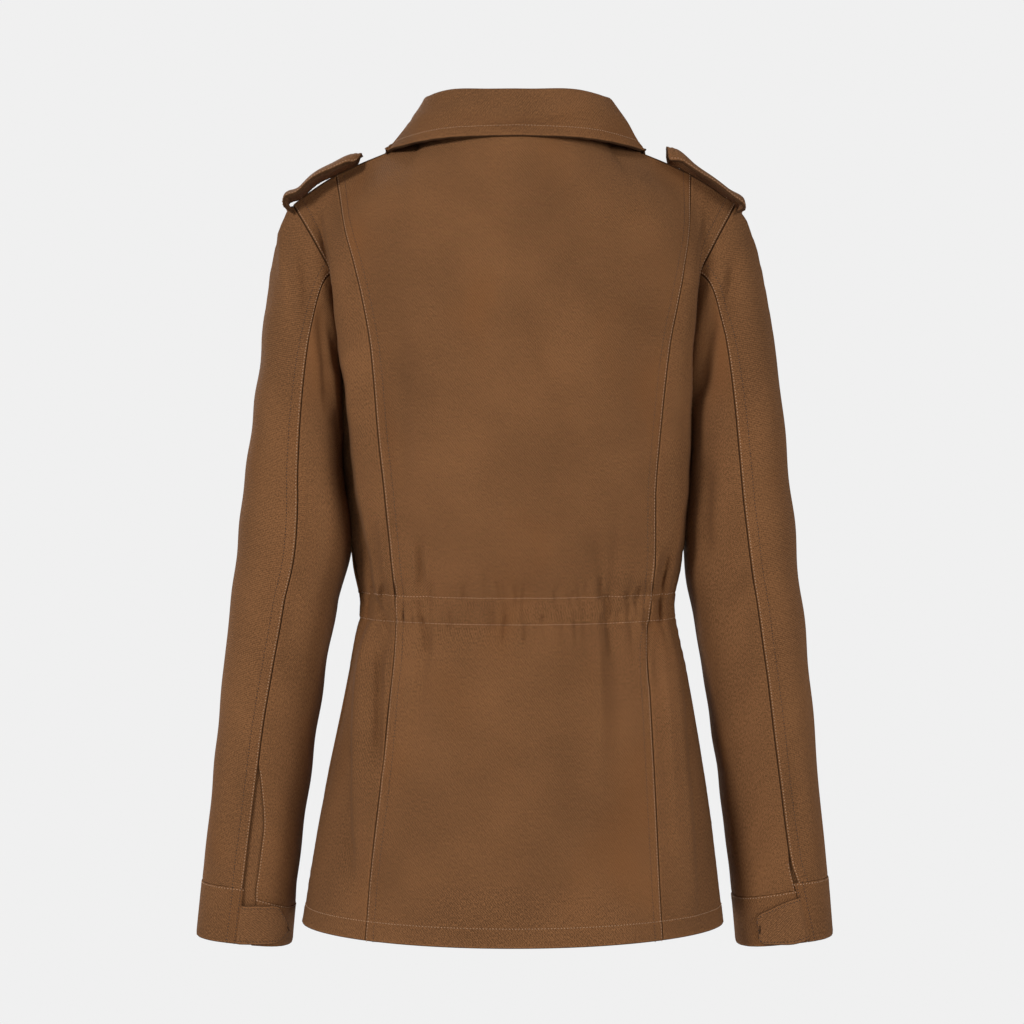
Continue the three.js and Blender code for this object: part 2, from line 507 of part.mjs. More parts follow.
// The outer and inner place of a torso panel, with its shared edges
const FINE = 1e-4;
function torsoPoint(half, s, v, lift = 0, thick = CLOTH) {
  const other = half === BACK ? FRONT : BACK;
  const surface = (a, b) => torso(half, a, b);
  const place = surface(s, v);
  const way = outward(surface, s, v, half.out);
  const onEdge = Math.abs(s) > 1 - FINE;
  const onTop = v > 1 - FINE && Math.abs(s) > NECK_SHARE;
  if (lift > 0 || !(onEdge || onTop)) {
    place.addScaledVector(way, lift);
    return { outer: place, inner: place.clone().addScaledVector(way, -thick) };
  }
  const side = Math.sign(s);
  const across = surface(s - side * STEP, v).sub(place).normalize();
  const down = surface(s, v - STEP).sub(place).normalize();
  const otherWay = outward((a, b) => torso(other, a, b), s, v, other.out);
  const share = 0.5 * (1 - v) / (1 - UNDERARM);
  const armWay = () => sleeveWay(side, half === BACK ? share : 1 - share, 0);
  let made;
  if (onEdge && onTop) made = corner([way, otherWay, armWay()], [across, down]);
  else if (onTop) made = mitre(way, otherWay, down);
  else if (v < UNDERARM - FINE) made = mitre(way, otherWay, across);
  else if (v < UNDERARM + FINE) made = corner([way, otherWay, armWay()], [across, down]);
  else made = mitre(way, armWay(), across);
  const outer = place.add(made.shift);
  return { outer, inner: outer.clone().add(made.inward) };
}

const sleeveWay = (side, p, t) => outward((a, b) => sleeveAt(side, a, b), p, Math.max(t, STEP), -side);

// The outer and inner place of a sleeve panel; its first row meets the torso
function sleevePoint(side, p, t, lift = 0, thick = CLOTH) {
  const place = sleeveAt(side, p, t);
  const way = sleeveWay(side, p, t);
  if (t > FINE) {
    place.addScaledVector(way, lift);
    return { outer: place, inner: place.clone().addScaledVector(way, -thick) };
  }
  const edge = armhole(side, p);
  const away = sleeveAt(side, p, STEP).sub(place).normalize();
  const wayOf = (half) => outward((a, b) => torso(half, a, b), edge.s, edge.v, half.out);
  const atCorner = edge.v > 1 - FINE || edge.v < UNDERARM + FINE;
  const made = atCorner
    ? corner([way, wayOf(BACK), wayOf(FRONT)], [away])
    : mitre(way, wayOf(edge.half), away);
  const outer = place.add(made.shift);
  return { outer, inner: outer.clone().add(made.inward) };
}

// Distance across a surface for one step of u, to stand pieces back from a seam
const pace = (surface, u, v) => surface(u + STEP, v).distanceTo(surface(u - STEP, v)) / (2 * STEP);

// Where across a half-torso the cloth reaches x at row v
function findAcross(half, side, xAt, v) {
  let [low, high] = [0, 1];
  for (let i = 0; i < 22; i += 1) {
    const mid = (low + high) / 2;
    const place = torsoBase(half, side * mid, v);
    if (side * (place.x - xAt(place.z)) < 0) low = mid;
    else high = mid;
  }
  return low;
}

const princess = (side, v) =>
  findAcross(BACK, side, (z) => along(PRINCESS, "z", z, side > 0 ? "left" : "right"), v);

const twill = (colour, roughness = 0.88) =>
  new THREE.MeshStandardMaterial({ color: colour, roughness, metalness: 0 });
const BROWN = 0x6f4c30;
const DEEP_BROWN = 0x674429;
const LIGHT_BROWN = 0x775236;
const HORN = 0x3b2a1c;

const jacket = new THREE.Group();
function add(name, geometry, colour, roughness) {
  const mesh = new THREE.Mesh(geometry, twill(colour, roughness));
  mesh.name = name;
  jacket.add(mesh);
}

// Rows of the torso panels, closer at the gathered waist
const HEM_TO_WAIST = [0, 0.027, 0.072, 0.12, 0.168, 0.216, 0.258, 0.295];
const WAIST_ROWS = [0.32, 0.341, 0.36, 0.378, 0.394, 0.412, 0.434];
const WAIST_TO_TOP = [0.465, 0.5, 0.54, UNDERARM, 0.602, 0.651, 0.705, 0.76, 0.81, 0.857, 0.888, 0.922,
  0.959, 0.982, 1];
const TORSO_ROWS = [...HEM_TO_WAIST, ...WAIST_ROWS, ...WAIST_TO_TOP];
const isWaist = (v) => WAIST_ROWS.includes(v);

const SEAM_INSET = SEAM_GAP / 2;
const rowsBetween = (from, to, plain, gathered) => TORSO_ROWS.map((v) => ({
  v,
  us: spread(from(v), to(v), isWaist(v) ? gathered : plain),
}));

// Back centre panel, between the princess seams
const seamIn = (side, v, way) => {
  const u = princess(side, v);
  return side * (u + way * SEAM_INSET / pace(backAt, side * u, v));
};
add("back_centre_panel", wall(
  rowsBetween((v) => seamIn(-1, v, -1), (v) => seamIn(1, v, -1), 14, 44),
  (s, v) => torsoPoint(BACK, s, v),
), BROWN);

// Back side panels, from the princess seam to the side seam and armhole
for (const [name, side] of [["left", 1], ["right", -1]]) {
  add(`back_side_panel_${name}`, wall(
    rowsBetween((v) => seamIn(side, v, 1), () => side, 5, 14),
    (s, v) => torsoPoint(BACK, s, v),
  ), BROWN);
}

// Front panels, meeting at the centre under the placket
const frontPace = (v) => pace(frontAt, 0.01, v); // just beside the centre
const centreIn = (v) => SEAM_INSET / frontPace(v);
const frontRows = (side) => rowsBetween((v) => side * centreIn(v), () => side, 9, 18);
for (const [name, side] of [["left", 1], ["right", -1]]) {
  add(`front_panel_${name}`, wall(frontRows(side), (s, v) => torsoPoint(FRONT, s, v)), BROWN);
}

// Placket over the meeting edges
const PLACKET_TOP = 0.994; // stops short of the neck seam
const placketRows = TORSO_ROWS.map((v) => {
  const row = Math.min(v, PLACKET_TOP);
  const half = PLACKET_HALF / frontPace(row);
  return { v: row, us: spread(-half, half, 4) };
});
add("front_placket", wall(
  placketRows,
  (s, v) => torsoPoint(FRONT, s, v, SEAM_GAP + DOUBLED, DOUBLED),
), DEEP_BROWN);

// Front buttons on the placket
const BUTTON_PROFILE = [
  [0, 0], [BUTTON_RADIUS - 0.6, 0], [BUTTON_RADIUS, 0.8], [BUTTON_RADIUS - 0.4, BUTTON_THICK],
  [BUTTON_RADIUS - 2.2, BUTTON_THICK - 0.7], [0, BUTTON_THICK - 0.7],
].map(([x, y]) => new THREE.Vector2(x, y));
BUTTON_ROWS.forEach((v, i) => {
  const { outer } = torsoPoint(FRONT, 0, v, 3 * SEAM_GAP + DOUBLED, CLOTH);
  const way = frontWay(0, v);
  const geometry = new THREE.LatheGeometry(BUTTON_PROFILE, 12);
  geometry.applyQuaternion(new THREE.Quaternion().setFromUnitVectors(new Vector3(0, 1, 0), way));
  geometry.translate(outer.x, outer.y, outer.z);
  add(`front_button_${i + 1}`, geometry, HORN, 0.4);
});

// Pockets and flaps on the lower front, made from the front panel's own rows
const pocketRows = (side, firstRow, lastRow, from, to) => frontRows(side)
  .slice(firstRow, lastRow + 1)
  .map((row) => ({ v: row.v, us: row.us.slice(from, to + 1) }));
const POCKET_GAP = 0.8;
const FLAP_WIDER = 2; // at each end
for (const [name, side] of [["left", 1], ["right", -1]]) {
  add(`pocket_${name}`, wall(
    pocketRows(side, 1, 6, 2, 7),
    (s, v) => torsoPoint(FRONT, s, v, POCKET_GAP + DOUBLED, DOUBLED),
  ), DEEP_BROWN);
  const flap = pocketRows(side, 5, 7, 2, 7);
  const widen = (row) => row.us.map((u, i) => {
    const end = i === 0 ? -1 : Number(i === row.us.length - 1);
    return u + side * end * FLAP_WIDER / pace(frontAt, u, row.v);
  });
  add(`pocket_flap_${name}`, wall(
    flap.map((row) => ({ v: row.v, us: widen(row) })),
    (s, v) => torsoPoint(FRONT, s, v, 2 * (POCKET_GAP + DOUBLED), DOUBLED),
  ), BROWN);
}

// Sleeves: top sleeve over the arm, under sleeve beneath, each with the armhole's own points in its first row
const ARM_SHARES = WAIST_TO_TOP.filter((v) => v >= UNDERARM).map((v) => 0.5 * (1 - v) / (1 - UNDERARM));
const ROUND = [...ARM_SHARES, ...ARM_SHARES.slice(0, -1).map((p) => 1 - p)];
const armColumns = (from, to) => [...ROUND, ...ROUND.map((p) => p + 1)]
  .sort((a, b) => a - b)
  .filter((p, i, all) => i === 0 || p - all[i - 1] > FINE)
  .filter((p) => p > from - FINE && p < to + FINE);
const CAP_ROWS = [0.08, 0.19, 0.33, 0.5, 0.72, 1];
const TUBE_ROWS = [1.1, 1.21, 1.32, 1.43, 1.53, 1.62, 1.7, 1.77, 1.83];
const ventWide = (side, t) => {
  const z = RING_TOP + (t - 1) * (RING_FOOT - RING_TOP);
  return t < 1 ? 0 : Math.max(0, along(SLEEVE_SEAM, "z", z, side > 0 ? "leftVent" : "rightVent"));
};
const VENT_GAP = 1;
const VENT_UNDER = { beyond: 4, width: 10 }; // the strip past the vent's edge, and its width when shut
const TAB = { length: 37, shoulder: 27, top: -583, foot: -617, tip: 5, sag: 2 };
const TAB_ROWS = [0, 9, 18, TAB.shoulder, 31, 34, TAB.length];
const TAB_MIDDLE = (TAB.top + TAB.foot) / 2;
const toT = (z) => 1 + (z - RING_TOP) / (RING_FOOT - RING_TOP);
const CUFF_MIDDLE = 1.95;
const CUFF_MEETS = 3; // its ends meet this far past the seam
const VENT_TOP = { left: 1.62, right: 1.77 };
const CUFF_SEAM_STEP = SEAM_INSET / (RING_TOP - RING_FOOT);
for (const [name, side] of [["left", 1], ["right", -1]]) {
  const surface = (p, t) => sleeveAt(side, p, t);
  const point = (p, t) => sleevePoint(side, p, t);
  const stand = (p, t, away) => away / pace(surface, p, Math.max(t, STEP));
  const rows = [0, ...CAP_ROWS, ...TUBE_ROWS, CUFF_T - CUFF_SEAM_STEP];
  const columns = (from, to, count, t) => {
    const ends = [from + stand(from, t, SEAM_INSET), to - stand(to, t, SEAM_INSET)];
    if (t > 0) return spread(ends[0], ends[1], count);
    const own = armColumns(from, to);
    return [ends[0], ...own.slice(1, -1), ends[1]];
  };
  add(`sleeve_top_${name}`, wall(
    rows.map((t) => ({ v: t, us: columns(FRONT_SEAM, 1 + BACK_SEAM, 13, t) })),
    point,
  ), BROWN);
  const openFrom = (t) => BACK_SEAM + stand(BACK_SEAM, t, ventWide(side, t));
  add(`sleeve_under_${name}`, wall(
    rows.map((t) => ({ v: t, us: columns(openFrom(t), FRONT_SEAM, 9, t) })),
    point,
  ), DEEP_BROWN);

  // Vent strip beneath both edges of the vent
  const ventRows = [...TUBE_ROWS.filter((t) => t >= VENT_TOP[name]), CUFF_T - CUFF_SEAM_STEP];
  add(`vent_strip_${name}`, wall(
    ventRows.map((t) => {
      const from = BACK_SEAM - stand(BACK_SEAM, t, VENT_UNDER.beyond);
      return { v: t, us: spread(from, from + stand(BACK_SEAM, t, VENT_UNDER.width + ventWide(side, t)), 3) };
    }),
    (p, t) => sleevePoint(side, p, t, -(CLOTH + VENT_GAP)),
  ), LIGHT_BROWN);

  // Cuff, one band whose ends meet under its tab
  const cuffFrom = BACK_SEAM + stand(BACK_SEAM, CUFF_T, CUFF_MEETS);
  add(`cuff_${name}`, wall(
    spread(CUFF_T + CUFF_SEAM_STEP, 2, 3).map((t) => ({
      v: t,
      us: spread(cuffFrom, cuffFrom + 1 - stand(BACK_SEAM, t, 2 * SEAM_GAP), 24),
    })),
    (p, t) => sleevePoint(side, p, t, 0, DOUBLED),
  ), BROWN);

  // Pointed tab on the cuff, from the vent towards the inner side
  add(`cuff_tab_${name}`, wall(
    TAB_ROWS.map((a) => {
      const narrow = Math.max(0, (a - TAB.shoulder) / (TAB.length - TAB.shoulder));
      const upper = MathUtils.lerp(TAB.top, TAB_MIDDLE + TAB.tip, narrow ** 1.2);
      const lower = MathUtils.lerp(TAB.foot, TAB_MIDDLE - TAB.tip - TAB.sag, narrow ** 1.6);
      return { v: a, us: spread(toT(upper), toT(lower), 3) };
    }),
    (t, a) => {
      const p = BACK_SEAM + stand(BACK_SEAM, CUFF_MIDDLE, a);
      return sleevePoint(side, p, t, SEAM_GAP + DOUBLED, DOUBLED);
    },
  ), LIGHT_BROWN);
}

// Collar: the stand rises from the neckline, the fall rolls over it and lies on the shoulders
function collarPath(angle) {
  const a = Math.min(Math.abs(angle), COLLAR_END);
  const read = (kind, axis) => along(COLLAR, "a", a, kind + axis);
  const spot = (kind) => new Vector3(Math.sign(angle) * read(kind, "X"), read(kind, "Y"), read(kind, "Z"));
  const [neck, fold, edge] = [spot("neck"), spot("fold"), spot("edge")];
  if (angle > 0) fold.x *= SLUMP;
  const out = new Vector3(fold.x, fold.y + NECK_BACK, 0).normalize();
  return { neck, fold, edge, out };
}

const STAND_TOP = -7; // below the rolled fold
const STAND_CLEAR = 0.6;
const LEAF = 2; // the fall's doubled cloth
const STAND_FOOT = 2; // above the neckline
function standAt(angle, w) {
  const { neck, fold, out } = collarPath(angle);
  const foot = neck.addScaledVector(out, -STAND_IN - DOUBLED).add(new Vector3(0, 0, STAND_FOOT));
  const top = fold.addScaledVector(out, -ROLL / 2).add(new Vector3(0, 0, STAND_TOP - STAND_CLEAR));
  return foot.lerp(top, w);
}

function fallAt(angle, w) {
  const { fold, edge, out } = collarPath(angle);
  const up = new Vector3(0, 0, 1);
  const knots = [
    fold.clone().addScaledVector(out, -ROLL / 2).addScaledVector(up, STAND_TOP),
    fold.clone().addScaledVector(out, -ROLL / 2).addScaledVector(up, ROLL_DROP.inner),
    fold.clone(),
    fold.clone().addScaledVector(out, ROLL / 2).addScaledVector(up, ROLL_DROP.outer),
    fold.clone().addScaledVector(out, ROLL / 2).addScaledVector(up, ROLL_DROP.leaf).lerp(edge, 0.5),
    edge,
  ];
  const marks = [0, 0.1, 0.2, 0.3, 0.65, 1];
  const rows = knots.map((knot, i) => ({ w: marks[i], x: knot.x, y: knot.y, z: knot.z }));
  return new Vector3(...["x", "y", "z"].map((axis) => along(rows, "w", w, axis)));
}

const byWay = (surface, u, v, out, lift, thick) => {
  const way = outward(surface, u, v, out);
  const outer = surface(u, v).addScaledVector(way, lift);
  return { outer, inner: outer.clone().addScaledVector(way, -thick) };
};
const PER_TURN = 100; // degrees in one unit of the collar's own measure
const collarTurns = spread((1 - COLLAR_END) / PER_TURN, (COLLAR_END - 1) / PER_TURN, 30);
const collar = (at) => (turn, w) => at(turn * PER_TURN, w);
add("collar_stand", wall(
  [0, 0.5, 1].map((w) => ({ v: w, us: collarTurns })),
  (turn, w) => byWay(collar(standAt), turn, w, 1, 0, DOUBLED),
), DEEP_BROWN);
add("collar_fall", wall(
  [0, 0.1, 0.2, 0.3, 0.45, 0.65, 0.85, 1].map((w) => ({ v: w, us: collarTurns })),
  (turn, w) => byWay(collar(fallAt), turn, w, 1, 0, LEAF),
), BROWN);

// Epaulettes, standing off the shoulder towards a free point
for (const [name, side] of [["left", 1], ["right", -1]]) {
  const surface = (a, w) => {
    const read = (column) => along(EPAULETTE, "w", w, column);
    const strap = new Vector3(side * read("x"), a * read("half"), read(name) - read("droop") * a * a);
    const free = MathUtils.clamp(w / EPAULETTE_RISE, -1, 1);
    if (free >= 1) return strap;
    const seam = a * EPAULETTE_SEWN;
    const foot = sleeveAt(side, seam, EPAULETTE_FOOT)
      .addScaledVector(sleeveWay(side, seam, EPAULETTE_FOOT), DOUBLED + 2 * SEAM_GAP);
    return foot.lerp(strap, free);
  };
  add(`epaulette_${name}`, wall(
    EPAULETTE_ROWS.map((w) => ({ v: w, us: spread(-1, 1, 6) })),
    (a, w) => byWay(surface, a, w, side, 0, DOUBLED),
  ), LIGHT_BROWN);
}

// Waist casing, a strip sewn inside round the waist
const CASING = { from: 0.366, to: 0.4, stand: 5.2, count: 18, thick: 1.2, end: 0.06 };
const smoothHalf = (half) => (s, v) => torsoBase(half, s, v);
const casingColumns = spread(-2 + CASING.end, 2 - CASING.end, 2 * CASING.count);
add("waist_casing", wall(
  [CASING.from, (CASING.from + CASING.to) / 2, CASING.to].map((v) => ({ v, us: casingColumns })),
  (c, v) => {
    const half = Math.abs(c) <= 1 ? BACK : FRONT;
    const s = Math.abs(c) <= 1 ? c : Math.sign(c) * (2 - Math.abs(c));
    return byWay(smoothHalf(half), s, v, half.out, -CASING.stand, CASING.thick);
  },
), DEEP_BROWN);

export default jacket;
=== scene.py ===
import math

import bpy
import numpy as np
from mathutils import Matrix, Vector


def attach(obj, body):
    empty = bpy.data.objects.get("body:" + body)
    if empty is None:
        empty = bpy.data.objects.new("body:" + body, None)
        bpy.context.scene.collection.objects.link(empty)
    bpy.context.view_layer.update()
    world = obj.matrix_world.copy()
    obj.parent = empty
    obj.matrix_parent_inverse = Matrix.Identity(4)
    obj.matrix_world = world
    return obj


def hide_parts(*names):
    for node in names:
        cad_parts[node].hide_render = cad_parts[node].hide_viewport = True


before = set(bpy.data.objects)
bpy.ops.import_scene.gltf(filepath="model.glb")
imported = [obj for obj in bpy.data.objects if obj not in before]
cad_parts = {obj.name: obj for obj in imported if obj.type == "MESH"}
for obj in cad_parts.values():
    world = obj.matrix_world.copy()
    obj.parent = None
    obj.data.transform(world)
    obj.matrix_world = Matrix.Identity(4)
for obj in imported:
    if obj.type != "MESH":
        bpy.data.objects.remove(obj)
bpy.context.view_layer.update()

# Studio
# A long lens looks at the back of the jacket from a little below its chest, against an even
# near-white ground. Two wide soft lamps stand beside the camera, and a pale floor lies below.
STAGE_GREY = 0.871
scene = bpy.context.scene
scene.view_settings.view_transform = "Standard"
camera_data = bpy.data.cameras.new("photo_camera")
camera_data.lens = 104.63
camera_data.sensor_width = 36
camera = bpy.data.objects.new("photo_camera", camera_data)
camera.location = (0.0017, 2.5, -0.258)
camera.rotation_euler = (math.radians(90), 0, math.radians(180))
scene.collection.objects.link(camera)
scene.camera = camera


def soft_lamp(name, place, aim, size, power):
    """A square lamp turned from its place towards a point of the jacket."""
    data = bpy.data.lights.new(name, "AREA")
    data.size = size
    data.energy = power
    lamp = bpy.data.objects.new(name, data)
    lamp.location = place
    way = Vector(aim) - Vector(place)
    lamp.rotation_euler = way.to_track_quat("-Z", "Y").to_euler()
    scene.collection.objects.link(lamp)


soft_lamp("key_lamp", (2.0, 2.3, 1.25), (0, 0, -0.25), 0.8, 75)
soft_lamp("fill_lamp", (-2.0, 2.4, 0.5), (0, 0, -0.3), 1.6, 43)
soft_lamp("front_lamp", (0.6, -2.4, 1.0), (0, 0, -0.25), 1.8, 60)

world = bpy.data.worlds.new("studio_air")
scene.world = world
world.use_nodes = True
air = world.node_tree
air.nodes.clear()
seen, lit = (air.nodes.new("ShaderNodeBackground") for _ in range(2))
seen.inputs["Color"].default_value = (STAGE_GREY, STAGE_GREY, STAGE_GREY, 1)
lit.inputs["Color"].default_value = (1, 1, 1, 1)
lit.inputs["Strength"].default_value = 0.30
rays, mix, out = (air.nodes.new(kind) for kind in (
    "ShaderNodeLightPath", "ShaderNodeMixShader", "ShaderNodeOutputWorld"))
air.links.new(rays.outputs["Is Camera Ray"], mix.inputs["Fac"])
air.links.new(lit.outputs["Background"], mix.inputs[1])
air.links.new(seen.outputs["Background"], mix.inputs[2])
air.links.new(mix.outputs["Shader"], out.inputs["Surface"])

floor_mesh = bpy.data.meshes.new("floor")
floor_mesh.from_pydata(
    [(-1.7, -1.7, -1.0), (1.7, -1.7, -1.0), (1.7, 1.7, -1.0), (-1.7, 1.7, -1.0)], [], [(0, 1, 2, 3)])
floor = bpy.data.objects.new("floor", floor_mesh)
scene.collection.objects.link(floor)
floor_paint = bpy.data.materials.new("floor_paint")
floor_paint.use_nodes = True
floor_paint.node_tree.nodes["Principled BSDF"].inputs["Base Color"].default_value = (0.8, 0.8, 0.8, 1)
floor_mesh.materials.append(floor_paint)


# Back of the body
# Twill panels cut to shape: a wide centre panel between two shaped seams that run from the shoulder
# to the hem, and a narrow panel at each side. The seams are turned towards the centre and stitched
# twice, the hem is turned up and stitched, and the waist is gathered on a casing sewn inside.
MM = 0.001
STEP = 1e-3  # of a surface's own measures, for its slopes


def table(names, rows):
    """Measurements in millimetres, one column for each name; the first is what they go by."""
    return dict(zip(names.split(), np.array(rows, float).T))


TORSO = table("v edge_z back_x front_x back_y front_y bulge back_rise back_depth front_rise front_depth dome turn_z lean", [
    (0.0, -601, 175.5, 175.5, 0, 0, 3, -608, 116, -606, -124, 0, -601, 1),
    (0.144, -500, 161, 161, 0, 0, 4, -503, 103, -503, -114, 0, -500, -1.2),
    (0.289, -399, 142, 142, 0, 0, 3, -404, 84, -404, -100, 0, -399, -3),
    (0.338, -365, 135, 135, 0, 0, 2, -371, 77, -371, -96, 0, -365, -3),
    (0.384, -332, 131, 131, 0, 0, 2, -338, 74, -341, -95, 0, -332, -2.5),
    (0.433, -298, 137, 137, 0, 0, 5, -303, 80, -312, -104, 0, -298, -2.5),
    (0.503, -249, 141, 141, 0, 0, 7, -251, 91, -266, -120, 0, -249, -2),
    (0.573, -200, 143, 143, 0, 0, 7, -198, 98, -219, -130, 0, -200, -1.5),
    (0.602, -192, 143, 142, 13, -15, 7, -180, 100, -200, -131, 1, -184, -1.5),
    (0.651, -168, 142, 138, 24, -30, 8, -149, 102, -171, -130, 2, -156, -1.5),
    (0.705, -140, 142, 136, 30, -41, 9, -115, 103, -142, -125, 5, -127, -1.5),
    (0.79, -95, 146, 138, 34, -48, 9, -61, 98, -103, -111, 9, -80, -1.5),
    (0.857, -60, 153, 147, 32, -45, 5, -20, 88, -76, -99, 12, -46, -1.2),
    (0.905, -38, 164, 160, 26, -35, 2, 8, 79, -58, -91, 16, -24, -1),
    (0.959, -15, 177, 175, 14, -18, 0, 37, 66, -39, -82, 11, -3, -0.5),
    (1.0, 0, 186, 186, 0, 0, 0, 56, 56, -25, -75, 0, 12, 0),
])
SHOULDER = table("x z", [
    (76, 57),
    (112, 42),
    (130, 34.5),
    (150, 25),
    (170, 12.5),
    (186, 0),
])
PRINCESS = table("z left right", [
    (-606, 120.5, -120.5),
    (-555, 117, -118),
    (-474, 108, -114.5),
    (-414, 103, -111.8),
    (-375, 99, -110.2),
    (-337, 97.6, -113),
    (-293, 101, -116.3),
    (-247, 105.5, -116),
    (-202, 110.4, -119),
    (-125, 117, -127),
    (-85, 124, -134.5),
    (-56, 131, -140),
    (-25, 139.7, -145),
    (24, 149.5, -148.7),
])
BACK_FOLDS = table("x0 z0 x1 z1 wide lift", [
    (148, -58, 131, -285, 11, 4),
    (-150, -58, -142, -288, 11, 3.5),
    (-8, -60, -72, -240, 22, -2.5),
    (96, -80, 92, -250, 11, -2),
    (127, -345, 128, -530, 10, 4),
    (108, -335, 112, -470, 9, -3),
    (-128, -340, -146, -595, 11, 4),
    (-115, -345, -117, -400, 8, -2.5),
    (-68, -345, -70, -480, 7, 2),
    (60, -345, 52, -500, 12, 2),
    (-30, -360, -34, -560, 16, 1.8),
])
BACK_GATHERS = table("s above below deep wide", [
    (0.87, 24, 40, 1.8, 0.026),
    (0.79, 20, 34, 1.5, 0.026),
    (0.68, 26, 42, 2.0, 0.028),
    (0.59, 30, 56, 2.4, 0.03),
    (0.352, 48, 95, 3.0, 0.026),
    (0.25, 18, 24, 1.2, 0.02),
    (0.165, 22, 32, 1.7, 0.02),
    (0.101, 20, 26, 1.5, 0.017),
    (0.035, 20, 30, 1.7, 0.017),
    (-0.037, 22, 28, 1.6, 0.018),
    (-0.1, 24, 30, 1.8, 0.018),
    (-0.165, 24, 32, 1.7, 0.02),
    (-0.25, 26, 34, 2.0, 0.022),
    (-0.368, 62, 44, 3.4, 0.03),
    (-0.468, 26, 36, 1.8, 0.024),
    (-0.585, 28, 36, 2.0, 0.028),
    (-0.71, 40, 26, 2.4, 0.03),
    (-0.8, 20, 30, 1.5, 0.026),
    (-0.88, 22, 36, 1.7, 0.026),
])
UNDERARM = 0.573
FLAT, TURN, LOCAL = 0.62, 0.6, 8
TOP_BLEND = 0.85
NECK_SHARE = 0.44
NECK_HALF, SHOULDER_TIP = 76, 186
WAIST_V, SPAN = 0.384, 700
EDGE_CALM = 0.93


def reading(rows, name, at):
    """One column of a table in a smooth curve through its rows, straight past its ends."""
    by, value = next(iter(rows.values())), rows[name]
    at = np.asarray(at, float)
    i = np.arange(len(by))
    low, high = np.maximum(i - 1, 0), np.minimum(i + 1, len(by) - 1)
    slope = (value[high] - value[low]) / (by[high] - by[low])
    turns = (value - value[low]) * (value[high] - value) <= 0
    slope[1:-1][turns[1:-1]] = 0
    i = np.clip(np.searchsorted(by, at, "right") - 1, 0, len(by) - 2)
    span = by[i + 1] - by[i]
    t = np.clip((at - by[i]) / span, 0, 1)
    rest = 1 - t
    inside = (
        (1 + 2 * t) * rest**2 * value[i] + t * rest**2 * span * slope[i]
        + t**2 * (3 - 2 * t) * value[i + 1] - t**2 * rest * span * slope[i + 1]
    )
    past = np.where(at < by[0], (at - by[0]) * slope[0], np.where(at > by[-1], (at - by[-1]) * slope[-1], 0))
    return inside + past


def smooth(low, high, x):
    t = np.clip((np.asarray(x, float) - low) / (high - low), 0, 1)
    return t * t * (3 - 2 * t)


def rows_of(rows):
    return [dict(zip(rows, values)) for values in zip(*rows.values())]


def fold_lift(folds, x, z):
    """How far the folds of a table lift the cloth at one place, seen from behind."""
    lift = np.zeros(np.broadcast(x, z).shape)
    for fold in rows_of(folds):
        dx, dz = fold["x1"] - fold["x0"], fold["z1"] - fold["z0"]
        t = np.clip(((x - fold["x0"]) * dx + (z - fold["z0"]) * dz) / (dx * dx + dz * dz), 0, 1)
        off = np.hypot(x - fold["x0"] - t * dx, z - fold["z0"] - t * dz)
        lift += fold["lift"] * np.sqrt(4 * t * (1 - t)) * np.exp(-((off / fold["wide"]) ** 2))
    return lift


def crease_lift(creases, x, z):
    """How far sharp creases lift the cloth: each is its width, its lift and the places it runs through."""
    x, z = np.broadcast_arrays(x, z)
    lift = np.zeros(x.shape)
    for wide, high, *line in creases:
        line = np.array(line, float)
        near = ((abs(x - line[:, 0].mean()) < np.ptp(line[:, 0]) / 2 + 3 * wide)
                & (abs(z - line[:, 1].mean()) < np.ptp(line[:, 1]) / 2 + 3 * wide))
        if not near.any():
            continue
        parts = np.diff(line, axis=0)
        lengths = np.hypot(*parts.T)
        done = np.concatenate([[0], lengths.cumsum()])
        best, share = np.full(near.sum(), np.inf), np.zeros(near.sum())
        for (px, pz), (dx, dz), length, before in zip(line, parts, lengths, done):
            t = np.clip(((x[near] - px) * dx + (z[near] - pz) * dz) / length**2, 0, 1)
            off = np.hypot(x[near] - px - t * dx, z[near] - pz - t * dz)
            share = np.where(off < best, (before + t * length) / done[-1], share)
            best = np.minimum(best, off)
        fade = smooth(-0.05, 0.3, share) * smooth(-0.05, 0.3, 1 - share)
        lift[near] += high * fade * np.exp(-((best / wide) ** 2))
    return lift


def gather_lift(gathers, s, v):
    away = (v - WAIST_V) * SPAN
    lift = np.zeros(np.broadcast(s, v).shape)
    for gather in rows_of(gathers):
        reach = np.where(away > 0, gather["above"], gather["below"])
        lift -= gather["deep"] * np.exp(-((away / reach) ** 2) - ((s - gather["s"]) / gather["wide"]) ** 2)
    return lift


def soft_waves(x, z, seed, height, wave):
    """Slight unevenness of worn cloth, as a few long waves that cross each other."""
    chance = np.random.default_rng(seed)
    lift = 0
    for _ in range(7):
        turn, size, start = chance.uniform(0, math.pi), wave * chance.uniform(0.7, 1.8), chance.uniform(0, 6.3)
        run = x * math.cos(turn) + z * math.sin(turn)
        lift = lift + np.sin(run * 2 * math.pi / size + start)
    return height * lift / 3


